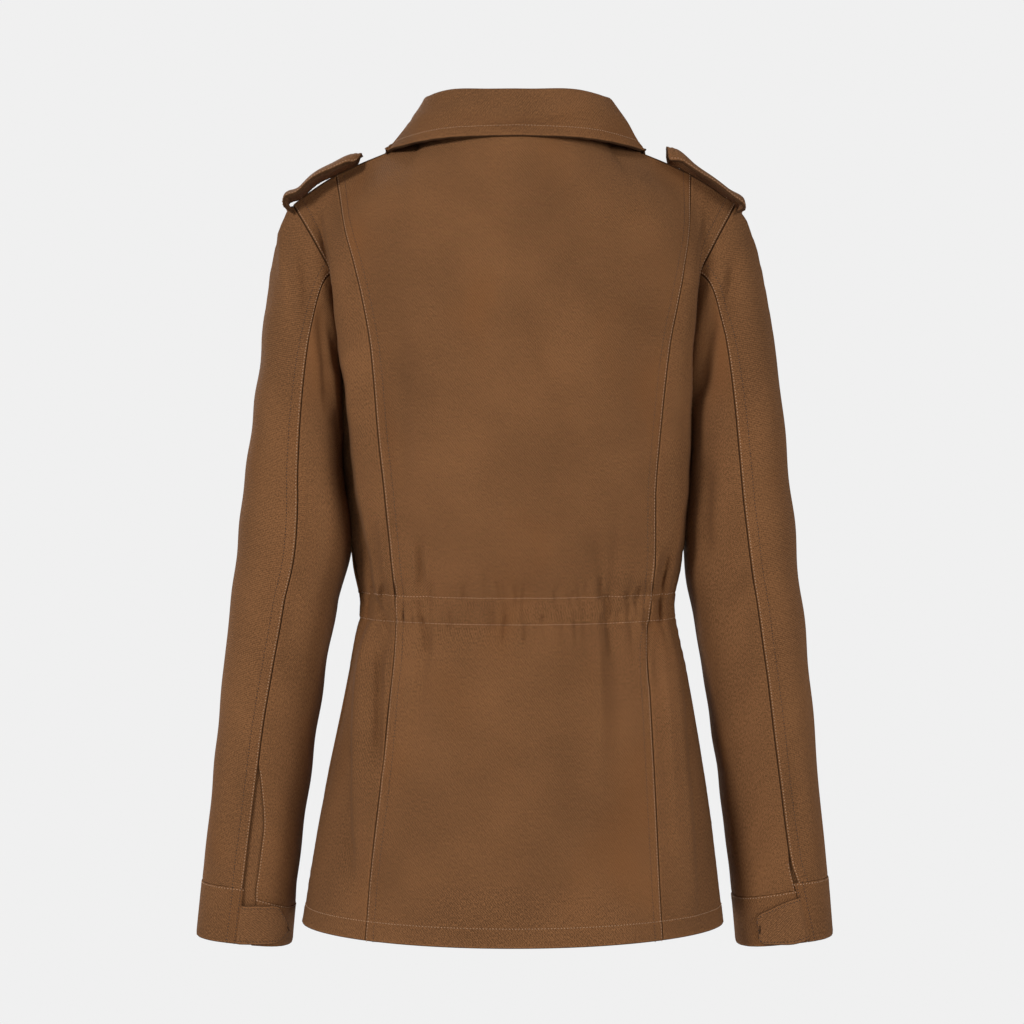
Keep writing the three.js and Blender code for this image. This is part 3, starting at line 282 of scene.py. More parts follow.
# Creases of the back, each with its width, its lift and the places that it runs through.
BACK_CREASES = (
    # gathers at the waist, from the wearer's left to right
    (2.6, -6, (118, -322), (111, -339)),
    (2.4, -3.2, (108, -308), (111.5, -332), (107.5, -352)),
    (2.6, -6, (124, -344), (117.5, -322)),
    (2.2, 3, (114, -318), (109.5, -331)),
    (5.5, -4, (116, -262), (114.5, -290), (112, -316)),
    (3, 2, (108.5, -250), (109, -280), (108.5, -318)),
    (3.2, -5, (113.5, -346), (112.5, -400), (112, -468)),
    (5, -2.5, (118, -350), (118.5, -385), (118, -420)),
    (3, 2, (107.5, -350), (107, -420), (107, -500)),
    (2.8, -2.8, (78, -276), (77.4, -300), (78, -330)), (2.6, 1.4, (72.5, -284), (72.5, -322)),
    (2.4, -4.4, (79, -326), (78, -338), (75.5, -350)),
    (4, 2, (81, -330), (80, -344)),
    (3, -2.5, (75, -347), (72, -362), (70, -376)),
    (2, -1.5, (38.5, -312), (41, -322), (42, -335)),
    (1.8, -1, (32.5, -325), (33, -341)),
    (2, -1.7, (23.5, -300), (23, -316), (22.5, -328)),
    (2, -1.7, (16, -322), (18.5, -332), (18.5, -346)),
    (1.8, -1.5, (9, -312), (8, -331)),
    (2, -2.1, (6.5, -338), (7.5, -350), (8.5, -366)),
    (2, -1.7, (-9, -312), (-8, -328), (-5, -341)),
    (2, -2, (-10, -347), (-9.5, -366)),
    (2, -1.2, (-20.5, -315), (-20.5, -328), (-19, -344), (-18, -364)),
    (2.2, -1.2, (-35, -313), (-35.5, -326), (-36.5, -338)),
    (2, -1.9, (-49.5, -337), (-51, -350), (-51.5, -364)),
    (1.8, -1, (-56, -321), (-54.5, -331)),
    (1.8, -1.2, (-65, -329), (-64.5, -350), (-64, -367)),
    (7, -2.4, (-66, -268), (-72, -297), (-75.5, -322)),
    (2.4, -3.2, (-71, -308), (-71.5, -331)),
    (2.6, -4.9, (-74, -322), (-79, -334), (-76.5, -349)),
    (2.6, -2.4, (-77, -345), (-79, -376)),
    (4, 1.5, (-68, -335), (-69, -420)),
    (2, -1, (-96, -328), (-94, -343)),
    (2, -1.2, (-98.5, -350), (-97, -364)),
    (2.2, -1.4, (-104, -316), (-103.5, -330), (-102.5, -340)),
    (3.4, -7.5, (-127.5, -284), (-123, -308), (-119.5, -326)), (3, 3, (-119, -290), (-114.5, -318)),
    (2.6, -6.5, (-119.5, -320), (-121, -333), (-119.5, -350)),
    (3, 2.6, (-128, -300), (-126, -330)),
    (2.6, 2, (-115.5, -350), (-114, -400)),
    (3, 1.6, (-121, -350), (-126, -420), (-134, -560)),
    # soft drag lines over the upper back
    (10, -1.6, (97, -85), (96, -160), (93, -250)),
    (9, -1.6, (-9, -78), (-30, -140), (-70, -232)),
    (7, 1.2, (-70, -355), (-71, -470)),
    (7, -1.2, (-84, -360), (-86, -480)),
    (8, 1.2, (66, -370), (60, -470)),
    (8, -1.3, (-126, -200), (-128, -250), (-126, -292)),
    # small puckers along both rows of stitches
    *((chance.uniform(1.5, 2.3), -chance.uniform(0.9, 2.2),
       (x + lean, z + long), (x + chance.uniform(-1.5, 1.5), z), (x - lean, z - chance.uniform(3, 10)))
      for chance in [np.random.default_rng(11)] for row in (-325, -346) for _ in range(26)
      for x, z, lean, long in [(chance.uniform(-124, 122), row + chance.uniform(-3, 3), chance.uniform(-2.5, 2.5),
                                chance.uniform(4, 17))]),
)
# The fold that stands along each side of the back: where it stands out most, and by how much.
SIDE_FOLDS = {
    1: table("z x stand", [(-560, 128, 0), (-521, 128, 5), (-468, 128.8, 9), (-395, 127.6, 9), (-352, 120, 3),
                           (-338, 114, 3), (-313, 114.5, 9), (-281, 118.5, 13), (-248, 124.5, 14.5), (-207, 129, 14),
                           (-158, 133.5, 13), (-127, 138.5, 12), (-84, 146, 9), (-50, 151, 7), (-20, 156, 3),
                           (4, 160, 0), (20, 163, 0)]),
    -1: table("z x stand", [(-600, 147, 0), (-545, 144, 5), (-470, 138, 8), (-400, 134, 7), (-352, 128, 3),
                            (-338, 126, 2), (-291, 133, 8), (-248, 138, 10), (-207, 140, 10), (-158, 141, 9),
                            (-117, 143, 8), (-76, 147, 6), (-51, 150, 4), (-14, 155, 1), (6, 158, 0), (20, 161, 0)]),
}
BACK = dict(x="back_x", y="back_y", rise="back_rise", depth="back_depth", out=-1, hollow=34,
            top_y=54, top_z=1, folds=BACK_FOLDS, creases=BACK_CREASES, gathers=BACK_GATHERS)


def section(half, u, v):
    """One level section of the body, from the centre to the side."""
    edge_x, edge_y, edge_z = (reading(TORSO, name, v) for name in (half["x"], half["y"], "edge_z"))
    rise, depth = reading(TORSO, half["rise"], v), reading(TORSO, half["depth"], v)
    bulge = reading(TORSO, "bulge", v) * depth / reading(TORSO, "back_depth", v)
    calm_y = half["hollow"] * smooth(0.5, 0.75, v) * (1 - smooth(0.8, 1, v))
    rest = 1 - u
    start, first, second, end = rest**3, 3 * rest**2 * u, 3 * rest * u**2, u**3
    return np.stack(np.broadcast_arrays(
        first * FLAT * edge_x + second * (edge_x + bulge) + end * edge_x,
        (start + first + second * TURN) * depth + end * calm_y + (edge_y - calm_y) * u**LOCAL,
        (start + first) * rise + second * reading(TORSO, "turn_z", v) + end * edge_z
        + reading(TORSO, "dome", v) * np.sin(math.pi * u) ** 2,
    ), -1)


def top_edge(half, u):
    """The neckline from its middle, then the shoulder line."""
    share = np.clip((u - NECK_SHARE) / (1 - NECK_SHARE), 0, 1)
    x = NECK_HALF + share * (SHOULDER_TIP - NECK_HALF)
    shoulder = np.stack([x, 2 * (1 - share), reading(SHOULDER, "z", x)], -1)
    turn = np.minimum(u / NECK_SHARE, 1) * math.pi / 2
    neck = np.stack([
        NECK_HALF * np.sin(turn), 2 + half["top_y"] * np.cos(turn), 57 - half["top_z"] * np.cos(turn)], -1)
    return np.where((u > NECK_SHARE)[..., None], shoulder, neck)


def torso_base(half, s, v):
    s, v = np.broadcast_arrays(np.asarray(s, float), np.asarray(v, float))
    u = np.abs(s)
    weight = smooth(TOP_BLEND, 1, v)[..., None]
    place = section(half, u, v) + weight * (top_edge(half, u) - section(half, u, np.ones_like(v)))
    place[..., 0] = reading(TORSO, "lean", v) + np.where(s < 0, -place[..., 0], place[..., 0])
    return place


def outward(surface, u, v, out):
    """The way out of a surface, from its slopes."""
    across = surface(u + STEP, v) - surface(u - STEP, v)
    up = surface(u, v + STEP) - surface(u, v - STEP)
    way = np.cross(across, up)
    return out * way / np.linalg.norm(way, axis=-1, keepdims=True)


def torso(half, s, v):
    """The outer face of the body, s from the centre to each side and v from the hem to the top."""
    place = torso_base(half, s, v)
    calm = 1 - smooth(EDGE_CALM, 1, np.abs(s))
    x, z = place[..., 0], place[..., 2]
    way = outward(lambda a, b: torso_base(half, a, b), s, v, half["out"])
    lift = fold_lift(half["folds"], x, z) + gather_lift(half["gathers"], s, v)
    crease = (crease_lift(half["creases"], x, z) * calm)[..., None]
    place = place + way * (lift * calm)[..., None]
    level = smooth(90, 118, np.abs(x))[..., None]
    place += crease * (way * (1 - level) + level * (0, -half["out"], 0))
    if half is BACK:
        for side, fold in SIDE_FOLDS.items():
            past = side * x - reading(fold, "x", z)
            stand = np.maximum(0, reading(fold, "stand", z)) * calm * (z > fold["z"][0]) * (z < 4)
            place[..., 1] += stand * (np.exp(-((past / 24) ** 2)) * (past < 0) + (past >= 0))
            place[..., 1] -= stand * (2.5 if side > 0 else 1.5) * smooth(0.5, 5, past)
    place[..., 2] -= (1.6 + 2.6 * place[..., 0] ** 2 / 17000) * np.exp(-(((z + 325) / 50) ** 2))
    return place


def princess(side, v):
    """Where across the back the shaped seam runs at each height."""
    name = "left" if side > 0 else "right"
    low, high = np.zeros_like(v), np.ones_like(v)
    for _ in range(22):
        middle = (low + high) / 2
        place = torso_base(BACK, side * middle, v)
        inside = side * (place[..., 0] - reading(PRINCESS, name, place[..., 2])) < 0
        low, high = np.where(inside, middle, low), np.where(inside, high, middle)
    return side * low


def close_at(band):
    """Distances from a seam at which a panel has a column: its edge stitch is the fourth, its band
    stitch the ninth."""
    return np.array([0, 0.5, 1, 1.5, 2.2, 3.2, 4.4, band - 0.7, band, band + 0.7, band + 2, band + 4.5])


def spaced(surface, start, end, rows, step, start_band, end_band):
    """Columns of a panel at true distances from both its seams, and those distances."""
    share = np.linspace(0, 1, 49)
    v = np.broadcast_to(rows[:, None], (len(rows), 49))
    u = start[:, None] + (end - start)[:, None] * share
    run = np.linalg.norm(np.diff(surface(u, v), axis=1), axis=-1).cumsum(1)
    run = np.concatenate([np.zeros((len(rows), 1)), run], 1)
    width = run[:, -1:]
    near, far = close_at(start_band), close_at(end_band)[::-1]
    fit = np.minimum(1, 0.9 * width / (near[-1] + far[0]))
    count = max(2, round(float((width - (near[-1] + far[0]) * fit).max()) / step))
    middle = np.linspace(0, 1, count + 1)[1:-1]
    away = np.concatenate([
        near * fit,
        near[-1] * fit + middle * (width - (near[-1] + far[0]) * fit),
        width - far * fit,
    ], 1)
    across = np.array([np.interp(a, r, c) for a, r, c in zip(away, run, u)])
    return across, away, width - away


def armhole_hollow(place, away, back):
    """Sinks the cloth on both sides of the armhole between the shoulder blade and the underarm."""
    z = place[..., 2]
    deep = 8 * np.exp(-((away / 7) ** 2)) * smooth(-38, -85, z) * smooth(-206, -170, z)
    return place + deep[..., None] * np.where(back, -1, 1)[..., None] * (0, 1.0, 0)


def seam_relief(away, band, along):
    """The dip into a seam, and the thicker band of turnings between its two rows of stitches."""
    pull = np.sin(along * 2 * math.pi / 9.5 + 2.2 * np.sin(along / 23)) * np.sin(along / 61 + band)
    relief = -0.9 * np.exp(-((away / 0.8) ** 2))
    if band:
        relief = relief + 0.6 * (1 - smooth(band + 0.3, band + 1.8, away))
        relief -= 0.35 * np.exp(-(((away - band) / 0.7) ** 2)) + 0.3 * np.exp(-(((away - 1.5) / 0.6) ** 2))
        relief += 0.28 * pull * np.exp(-(((away - band) / 4) ** 2))
    return relief


def way_out(place, out):
    """The way out of a grid of places."""
    way = np.cross(np.gradient(place, axis=1), np.gradient(place, axis=0))
    return out * way / np.maximum(np.linalg.norm(way, axis=-1, keepdims=True), 1e-9)


def cloth(name, outer, way, thick, seam, finish):
    """One cut piece of cloth: a closed thin wall from its outer face inwards, with its cut as UVs."""
    rows, cols = outer.shape[:2]
    count = rows * cols
    places = np.concatenate([outer.reshape(-1, 3), (outer - way * thick).reshape(-1, 3)]) * MM
    at = np.arange(count).reshape(rows, cols)
    face = np.stack([at[:-1, :-1], at[:-1, 1:], at[1:, 1:], at[1:, :-1]], -1).reshape(-1, 4)
    ring = np.concatenate([at[0, :-1], at[:-1, -1], at[-1, :0:-1], at[:0:-1, 0]])
    after = np.roll(ring, -1)
    rim = np.stack([after, ring, ring + count, after + count], -1)
    faces = np.concatenate([face, face[:, ::-1] + count, rim])
    a, b, c = (places[face[:, i]] for i in (0, 1, 2))
    if (np.cross(b - a, c - a) * way[:-1, :-1].reshape(-1, 3)).sum() < 0:
        faces = faces[:, ::-1]
    mesh = bpy.data.meshes.new(name)
    mesh.from_pydata(places.tolist(), [], faces.tolist())
    mesh.polygons.foreach_set("use_smooth", np.arange(len(faces)) < 2 * len(face))
    across = np.linalg.norm(np.diff(outer, axis=1), axis=-1)
    across = np.concatenate([np.zeros((rows, 1)), across.cumsum(1)], 1)
    across -= across[:, cols // 2][:, None]
    up = np.linalg.norm(np.diff(outer, axis=0), axis=-1)
    up = np.stack([np.convolve(np.pad(row, 8, "edge"), np.ones(17) / 17, "valid") for row in up])
    up = np.concatenate([np.zeros((1, cols)), up.cumsum(0)])
    cut = np.stack([across, up], -1).reshape(-1, 2) * MM
    corner = np.empty(len(mesh.loops), int)
    mesh.loops.foreach_get("vertex_index", corner)
    mesh.uv_layers.new(name="cut").data.foreach_set("uv", np.tile(cut, (2, 1))[corner].ravel())
    # seam_away is each point's distance to its nearest seam or edge. The twill paints its worn band and its painted
    # shade line from it.
    edge = mesh.attributes.new("seam_away", "FLOAT", "POINT")
    edge.data.foreach_set("value", np.tile(np.minimum(seam, 30).ravel(), 2))
    mesh.materials.append(finish)
    piece = bpy.data.objects.new(name, mesh)
    scene.collection.objects.link(piece)
    return piece


def laid_out(piece, outer, nodes):
    """Hangs a finished piece under the root and hides the parts of the model that it stands for; its area, width and
    length are worked out but not kept.
    """
    across = np.linalg.norm(np.diff(outer, axis=1), axis=-1)
    up = np.linalg.norm(np.diff(outer, axis=0), axis=-1)
    area = float(((across[:-1] + across[1:]) / 2 * (up[:, :-1] + up[:, 1:]) / 2).sum())
    wide, long = float(across.sum(1).max()), float(up.sum(0).max())
    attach(piece, "root")
    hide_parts(*nodes)


class Signal:
    """A number or colour inside a finish, which can be added, scaled and compared."""

    def __init__(self, maker, socket):
        self.maker, self.socket = maker, socket

    def sum(self, operation, *values):
        return self.maker.node("ShaderNodeMath", {"operation": operation}, dict(enumerate(values)))

    def __add__(self, other):
        return self.sum("ADD", self, other)

    def __sub__(self, other):
        return self.sum("SUBTRACT", self, other)

    def __rsub__(self, other):
        return self.sum("SUBTRACT", other, self)

    def __mul__(self, other):
        return self.sum("MULTIPLY", self, other)

    def __pow__(self, other):
        return self.sum("POWER", self, other)

    __radd__, __rmul__ = __add__, __mul__

    def sine(self):
        return self.sum("SINE", self)

    def between(self, low, high):
        settings = {"interpolation_type": "SMOOTHSTEP"}
        return self.maker.node("ShaderNodeMapRange", settings, {"Value": self, "From Min": low, "From Max": high})


class Finish:
    """The nodes of one finish, each made from its type, its settings and its sockets' values."""

    def __init__(self, name):
        self.material = bpy.data.materials.new(name)
        self.material.use_nodes = True
        self.tree = self.material.node_tree
        self.tree.nodes.clear()

    def node(self, kind, settings, sockets, output=0):
        made = self.tree.nodes.new(kind)
        for name, value in settings.items():
            setattr(made, name, value)
        for name, value in sockets.items():
            if isinstance(value, Signal):
                self.tree.links.new(value.socket, made.inputs[name])
            else:
                made.inputs[name].default_value = value
        return Signal(self, made.outputs[output])

    def blend(self, factor, first, second, way="MIX"):
        settings = {"data_type": "RGBA", "blend_type": way}
        return self.node("ShaderNodeMix", settings, {0: factor, 6: first, 7: second}, 2)

    def surface(self, sockets):
        shader = self.node("ShaderNodeBsdfPrincipled", {}, sockets)
        self.node_output = self.tree.nodes.new("ShaderNodeOutputMaterial")
        self.tree.links.new(shader.socket, self.node_output.inputs["Surface"])
        return self.material


WALE = 0.0021  # from one slanting rib to the next


def twill(name, brown):
    """Washed cotton twill: fine slanting wales, slubs, faded seams, a painted shade line along every seam and edge,
    and a short nap.
    """
    made = Finish(name)
    cut = made.node("ShaderNodeUVMap", {"uv_map": "cut"}, {})
    across, down = (made.node("ShaderNodeSeparateXYZ", {}, {"Vector": cut}, axis) for axis in (0, 1))
    wale = ((across + down * 1.5) * (2 * math.pi / WALE)).sine()
    pick = ((across - down * 0.7) * (2 * math.pi / WALE)).sine()

    def speckle(scale, detail, stretch=(1, 1, 1)):
        placed = made.node("ShaderNodeMapping", {}, {"Vector": cut, "Scale": stretch})
        return made.node("ShaderNodeTexNoise", {}, {"Vector": placed, "Scale": scale, "Detail": detail}, 0)

    slub = speckle(1050, 3, (1, 0.5, 1))
    mottle = speckle(14, 4)
    cloud = speckle(4, 2)
    patches = speckle(9, 3, (1, 0.6, 1))
    away = made.node("ShaderNodeAttribute", {"attribute_name": "seam_away"}, {}, 2)
    faded = (1 - away.between(0.9, 2.2)) * slub.between(0.3, 0.6)
    # dark and light bound the twill's own mottling, worn is the faded colour of the seams, and deep, a fifth of the
    # brown, is the colour of the painted shade line along seams and edges.
    dark, light, worn, deep = (tuple(c * share for c in brown) + (1,) for share in (0.58, 1.34, 1.6, 0.2))
    shade = (mottle * 0.25 + cloud * 0.2 + slub * 0.8 + wale * 0.09 + pick * 0.05).between(0.455, 0.795)
    colour = made.blend(shade, dark, light)
    warm = (brown[0] * 1.12, brown[1] * 0.95, brown[2] * 0.72, 1)
    colour = made.blend(patches.between(0.5, 0.72) * 0.4, colour, warm)
    colour = made.blend(faded * 0.45, colour, worn)
    # Painted shade: a near-black line within about a millimetre of every seam and edge, standing for the shadow in
    # the seam furrows and under lapped and raised edges.
    colour = made.blend((1 - away.between(0.25, 0.95)) * 0.85, colour, deep)
    height = wale * 0.6 + pick * 0.4 + slub * 1.2
    bump = made.node("ShaderNodeBump", {}, {"Strength": 0.6, "Distance": 0.0004, "Height": height})
    return made.surface({
        "Base Color": colour,
        "Roughness": 0.94 - slub * 0.12,
        "Specular IOR Level": 0.12,
        "Sheen Weight": 0.04,
        "Sheen Roughness": 0.6,
        "Sheen Tint": (0.8, 0.5, 0.3, 1),
        "Normal": bump,
    })


BROWN = (0.172, 0.0755, 0.029)
cloth_finish = twill("twill", BROWN)
CLOTH = 1.1
HEM_BAND = 15.5
CASING = (0.3692, 0.3994)


def torso_rows(step):
    """Heights of the body's rows, closer at the hem, the waist's two rows of stitches and the top."""
    hem = np.array([0, 0.6, 1.4, 2.4, 4, 7, 10, 13, 14.8, HEM_BAND, 16.2, 17.5]) / 729
    top = 1 - close_at(7.5)[::-1] / 480
    waist = [v + d / 715 for v in CASING for d in (-2, -0.8, 0, 0.8, 2)]
    knots = np.array([hem[-1], 0.29, 0.45, top[0]])
    middle = np.concatenate([
        np.linspace(a, b, round((b - a) * SPAN / pace))[:-1]
        for a, b, pace in zip(knots, knots[1:], (step * 1.5, step * 0.68, step * 1.5))])[1:]
    kept = [v for v in middle if min(abs(v - w) for w in waist) > 1.2 / 715]
    return np.array(sorted([*hem, *kept, *waist, *top]))


def waist_relief(s, v):
    """The casing's band at the waist, its two furrows and the small puckers along them."""
    low, high = ((v - edge) * 715 for edge in CASING)
    strength = 0.55 + 0.45 * np.sin(s * 23 + 1.3)
    upper = (1 - abs(np.sin(s * 41 + 2.5 * np.sin(s * 13)))) ** 2.5
    lower = (1 - abs(np.sin(s * 47 + 1 + 2.2 * np.sin(s * 11 + 2)))) ** 2.5
    reach = 6 + 5 * np.sin(s * 31 + 0.5)
    pucker = upper * np.exp(-((high / (9 + reach)) ** 2)) + lower * np.exp(-((low / (12 + reach)) ** 2))
    furrow = np.exp(-((low / 0.9) ** 2)) + np.exp(-((high / 0.9) ** 2))
    return 0.5 * smooth(-1, 1, low) * (1 - smooth(-1, 1, high)) - 0.55 * furrow - 0.8 * strength * pucker


def hem_relief(v):
    away = v * 729
    return 0.45 * (1 - smooth(HEM_BAND, HEM_BAND + 1.6, away)) - 0.35 * np.exp(-(((away - HEM_BAND) / 0.9) ** 2))


def body_panel(name, half, start, end, bands, rows, step, seed):
    """One panel of the body between two seams, with the relief of its seams, hem and waist."""
    surface = lambda s, v: torso(half, s, v)
    s, from_start, from_end = spaced(surface, start, end, rows, step, *(band or 7.5 for band in bands))
    v = np.broadcast_to(rows[:, None], s.shape)
    place = surface(s, v)
    way = way_out(place, half["out"])
    relief = seam_relief(from_start, bands[0], v * 715) + seam_relief(from_end, bands[1], v * 715 + 40)
    relief += seam_relief((1 - v) * 480, 0, v) + waist_relief(s, v) + hem_relief(v)
    calm = smooth(0, 14, np.minimum(from_start, from_end)) * smooth(0, 0.04, v) * (1 - smooth(0.97, 1, v))
    relief += soft_waves(place[..., 0], place[..., 2], seed, 0.45, 42) * calm
    outer = place + way * relief[..., None]
    to_arm = np.where(v > UNDERARM - 0.04, np.minimum(*(
        away if abs(edge[0]) == 1 else 99 for edge, away in ((start, from_start), (end, from_end)))), 99)
    outer = armhole_hollow(outer, to_arm, np.full(v.shape, half["out"] < 0))
    way = way_out(outer, half["out"])
    seam = np.minimum(np.minimum(from_start, from_end), np.minimum(v * 729, (1 - v) * 480))
    return outer, way, seam


SEAM_BAND = 7.5
back_rows = torso_rows(2.4)
left_seam, right_seam = princess(1, back_rows), princess(-1, back_rows)
whole = np.ones_like(back_rows)
# The sunken rows are drawn in thread painted almost black, as painted shade.
stitch_paths = {"back_stitches": [], "sleeve_stitches": [], "collar_stitches": [], "front_stitches": [],
                "sunken_stitches": []}
for name, start, end, bands in (
    ("back_centre_panel", right_seam, left_seam, (SEAM_BAND, SEAM_BAND)),
    ("back_side_panel_left", left_seam, whole, (0, 9.5)),
    ("back_side_panel_right", -whole, right_seam, (9.5, 0)),
):
    outer, way, seam = body_panel(name, BACK, start, end, bands, back_rows, 2.2, len(name))
    laid_out(cloth(name, outer, way, CLOTH, seam, cloth_finish), outer, [name])
    thread = outer + way * 0.12
    hem_row = int(np.argmin(abs(back_rows * 729 - HEM_BAND)))
    stitch_paths["back_stitches"] += [thread[hem_row]]
    stitch_paths["back_stitches"] += [thread[int(np.argmin(abs(back_rows - v)))] for v in CASING]
    arm = back_rows > UNDERARM
    if name == "back_centre_panel":
        stitch_paths["back_stitches"] += [thread[:, i] for i in (3, -4)]
        stitch_paths["sunken_stitches"] += [thread[:, i] for i in (8, -9)]
    elif "left" in name:
        stitch_paths["back_stitches"] += [thread[arm, -4]]
        stitch_paths["sunken_stitches"] += [thread[arm, -9]]
    else:
        stitch_paths["back_stitches"] += [thread[arm, 3]]
        stitch_paths["sunken_stitches"] += [thread[arm, 8]]


# Front of the body
# Two twill panels that meet at the centre, cut lower at the neck than the back. They hang in soft
# folds from the bust, are gathered on the same casing and end in the same turned hem.
FRONT_FOLDS = table("x0 z0 x1 z1 wide lift", [
    (120, -110, 96, -230, 13, -2.5),
    (-118, -105, -98, -240, 12, -2.5),
    (110, -345, 126, -520, 12, 3),
    (-112, -345, -120, -560, 13, 3),
    (52, -345, 60, -470, 11, 2),
    (-50, -345, -62, -500, 12, 2),
])
FRONT_GATHERS = table("s above below deep wide", [
    (0.2, 24, 36, 1.8, 0.03),
    (0.31, 28, 44, 2.2, 0.03),
    (0.43, 22, 34, 1.7, 0.03),
    (0.56, 30, 48, 2.3, 0.032),
    (0.69, 24, 38, 2.0, 0.032),
    (0.83, 22, 34, 1.8, 0.03),
    (-0.19, 26, 40, 1.9, 0.03),
    (-0.29, 22, 32, 1.6, 0.03),
    (-0.42, 30, 46, 2.3, 0.032),
    (-0.54, 24, 36, 1.8, 0.03),
    (-0.67, 28, 42, 2.1, 0.032),
    (-0.82, 22, 36, 1.7, 0.03),
])
FRONT_CREASES = (
    (2.6, -2.2, (118, -300), (113, -322), (112, -345)),
    (2.4, -1.8, (98, -308), (96, -330), (99, -352)),
    (2.4, -2.0, (84, -300), (80, -322), (82, -350)),
    (2.2, -1.5, (66, -312), (64, -330), (62, -358)),
    (2.4, -1.7, (48, -306), (46, -334), (49, -352)),
    (2.2, -1.3, (32, -316), (30, -345)),
    (2.2, -1.4, (-30, -310), (-28, -330), (-31, -356)),
    (2.4, -1.9, (-46, -302), (-49, -324), (-46, -352)),
    (2.2, -1.4, (-62, -314), (-60, -346)),
    (2.4, -2.0, (-78, -300), (-82, -326), (-79, -360)),
    (2.4, -1.7, (-96, -310), (-94, -342)),
    (2.6, -2.2, (-116, -298), (-112, -326), (-115, -352)),
    (9, -1.8, (112, -130), (92, -210), (84, -290)),
    (9, -1.8, (-116, -125), (-96, -200), (-84, -285)),
)
FRONT = dict(x="front_x", y="front_y", rise="front_rise", depth="front_depth", out=1, hollow=-48,
             top_y=-77, top_z=82, folds=FRONT_FOLDS, creases=FRONT_CREASES, gathers=FRONT_GATHERS)
front_rows = torso_rows(3.6)
front_whole = np.ones_like(front_rows)
front_pace = np.linalg.norm(
    torso(FRONT, 0.011 * front_whole, front_rows) - torso(FRONT, 0.009 * front_whole, front_rows), axis=-1) / 0.002
for name, start, end, bands in (
    ("front_panel_left", 0.15 / front_pace, front_whole, (0, 9.5)),
    ("front_panel_right", -front_whole, -0.15 / front_pace, (9.5, 0)),
):
    outer, way, seam = body_panel(name, FRONT, start, end, bands, front_rows, 4.2, len(name) + 40)
    laid_out(cloth(name, outer, way, CLOTH, seam, cloth_finish), outer, [name])
    thread = outer + way * 0.12
    arm = front_rows > UNDERARM
    edge = (-4, -9) if "left" in name else (3, 8)
    stitch_paths["front_stitches"] += [thread[int(np.argmin(abs(front_rows * 729 - HEM_BAND)))]]
    stitch_paths["front_stitches"] += [thread[int(np.argmin(abs(front_rows - v)))] for v in CASING]
    stitch_paths["front_stitches"] += [thread[arm, i] for i in edge]


# Placket
# A doubled strip of the same twill, stitched down over the meeting edges of the fronts with a row
# near each of its sides, from just under the collar to the hem.
trim_finish = twill("twill_trim", (0.182, 0.081, 0.032))


def patch(name, half, across, up, lift, thick, near, finish, node):
    """A doubled patch on the body: across and up are its places there, in rows and columns."""
    place = torso(half, across, up)
    way = way_out(place, half["out"])
    run = np.linalg.norm(np.diff(place, axis=1), axis=-1).cumsum(1)
    run = np.concatenate([np.zeros((len(run), 1)), run], 1)
    climb = np.linalg.norm(np.diff(place, axis=0), axis=-1).cumsum(0)
    climb = np.concatenate([np.zeros((1, climb.shape[1])), climb], 0)
    seam = np.minimum(np.minimum(run, run[:, -1:] - run), np.minimum(climb, climb[-1:] - climb))
    round_edge = lift + 0.0 * seam - 0.5 * np.exp(-((seam / 0.7) ** 2)) - 0.25 * np.exp(-(((seam - near) / 0.8) ** 2))
    round_edge += 0.15 * np.sin(climb / 3.1 + np.sin(run / 7)) * np.exp(-(((seam - near) / 5) ** 2))
    outer = place + way * (waist_relief(across, up) + hem_relief(up) + round_edge)[..., None]
    way = way_out(outer, half["out"])
    laid_out(cloth(name, outer, way, thick, seam, finish), outer, [node])
    return outer + way * 0.12, run, climb


PLACKET_HALF = 16
placket_up = np.minimum(front_rows, 0.994)
placket_up = placket_up[: int(np.argmax(placket_up >= 0.994)) + 1]
pace_at = np.interp(placket_up, front_rows, front_pace)
placket_from = np.array([-16, -15.4, -14.8, -14.2, -13.5, -12.5, -10, -7, -4, -1, 2, 5, 8, 11, 12.5, 13.5, 14.2,
                         14.8, 15.4, 16])
placket_across = placket_from / pace_at[:, None]
thread, _, _ = patch("front_placket", FRONT, placket_across, placket_up[:, None] + 0 * placket_across,
                     2.6, 2.2, 2.5, cloth_finish, "front_placket")
stitch_paths["front_stitches"] += [thread[:, 4], thread[:, -5]]


# Buttons
# Four-holed buttons of horn-look plastic, turned with a rounded rim and a dished middle, each sewn
# through the placket with crossed thread.
HORN = (0.036, 0.022, 0.0125)
# The second colour is the same thread painted almost black. It is painted shade for rows of stitches that lie sunk in
# a furrow.
THREAD, SUNKEN_SHADE_THREAD = (0.43, 0.255, 0.145), (0.042, 0.02, 0.01)
horn = Finish("horn_look")
spot = horn.node("ShaderNodeTexCoord", {}, {}, 3)
cloudy = horn.node("ShaderNodeTexNoise", {}, {"Vector": spot, "Scale": 260, "Detail": 3, "Distortion": 1.6})
horn_finish = horn.surface({
    "Base Color": horn.blend(cloudy.between(0.35, 0.68), (*HORN, 1), (*(c * 2.6 for c in HORN), 1)),
    "Roughness": 0.28 + cloudy * 0.18,
    "Specular IOR Level": 0.5,
})
thread_finishes = []
for name, tone in (("sewing_thread", THREAD), ("sunken_thread", SUNKEN_SHADE_THREAD)):
    thread_maker = Finish(name)
    spot = thread_maker.node("ShaderNodeTexCoord", {}, {}, 3)
    fibre = thread_maker.node("ShaderNodeTexNoise", {}, {"Vector": spot, "Scale": 900, "Detail": 2})
    thread_finishes.append(thread_maker.surface({
        "Base Color": thread_maker.blend(
            fibre.between(0.3, 0.7), (*(c * 0.75 for c in tone), 1), (*(c * 1.1 for c in tone), 1)),
        "Roughness": 0.7 + fibre * 0.1,
    }))
BUTTON_ROWS = (0.072, 0.216, 0.36, 0.5, 0.651, 0.81)
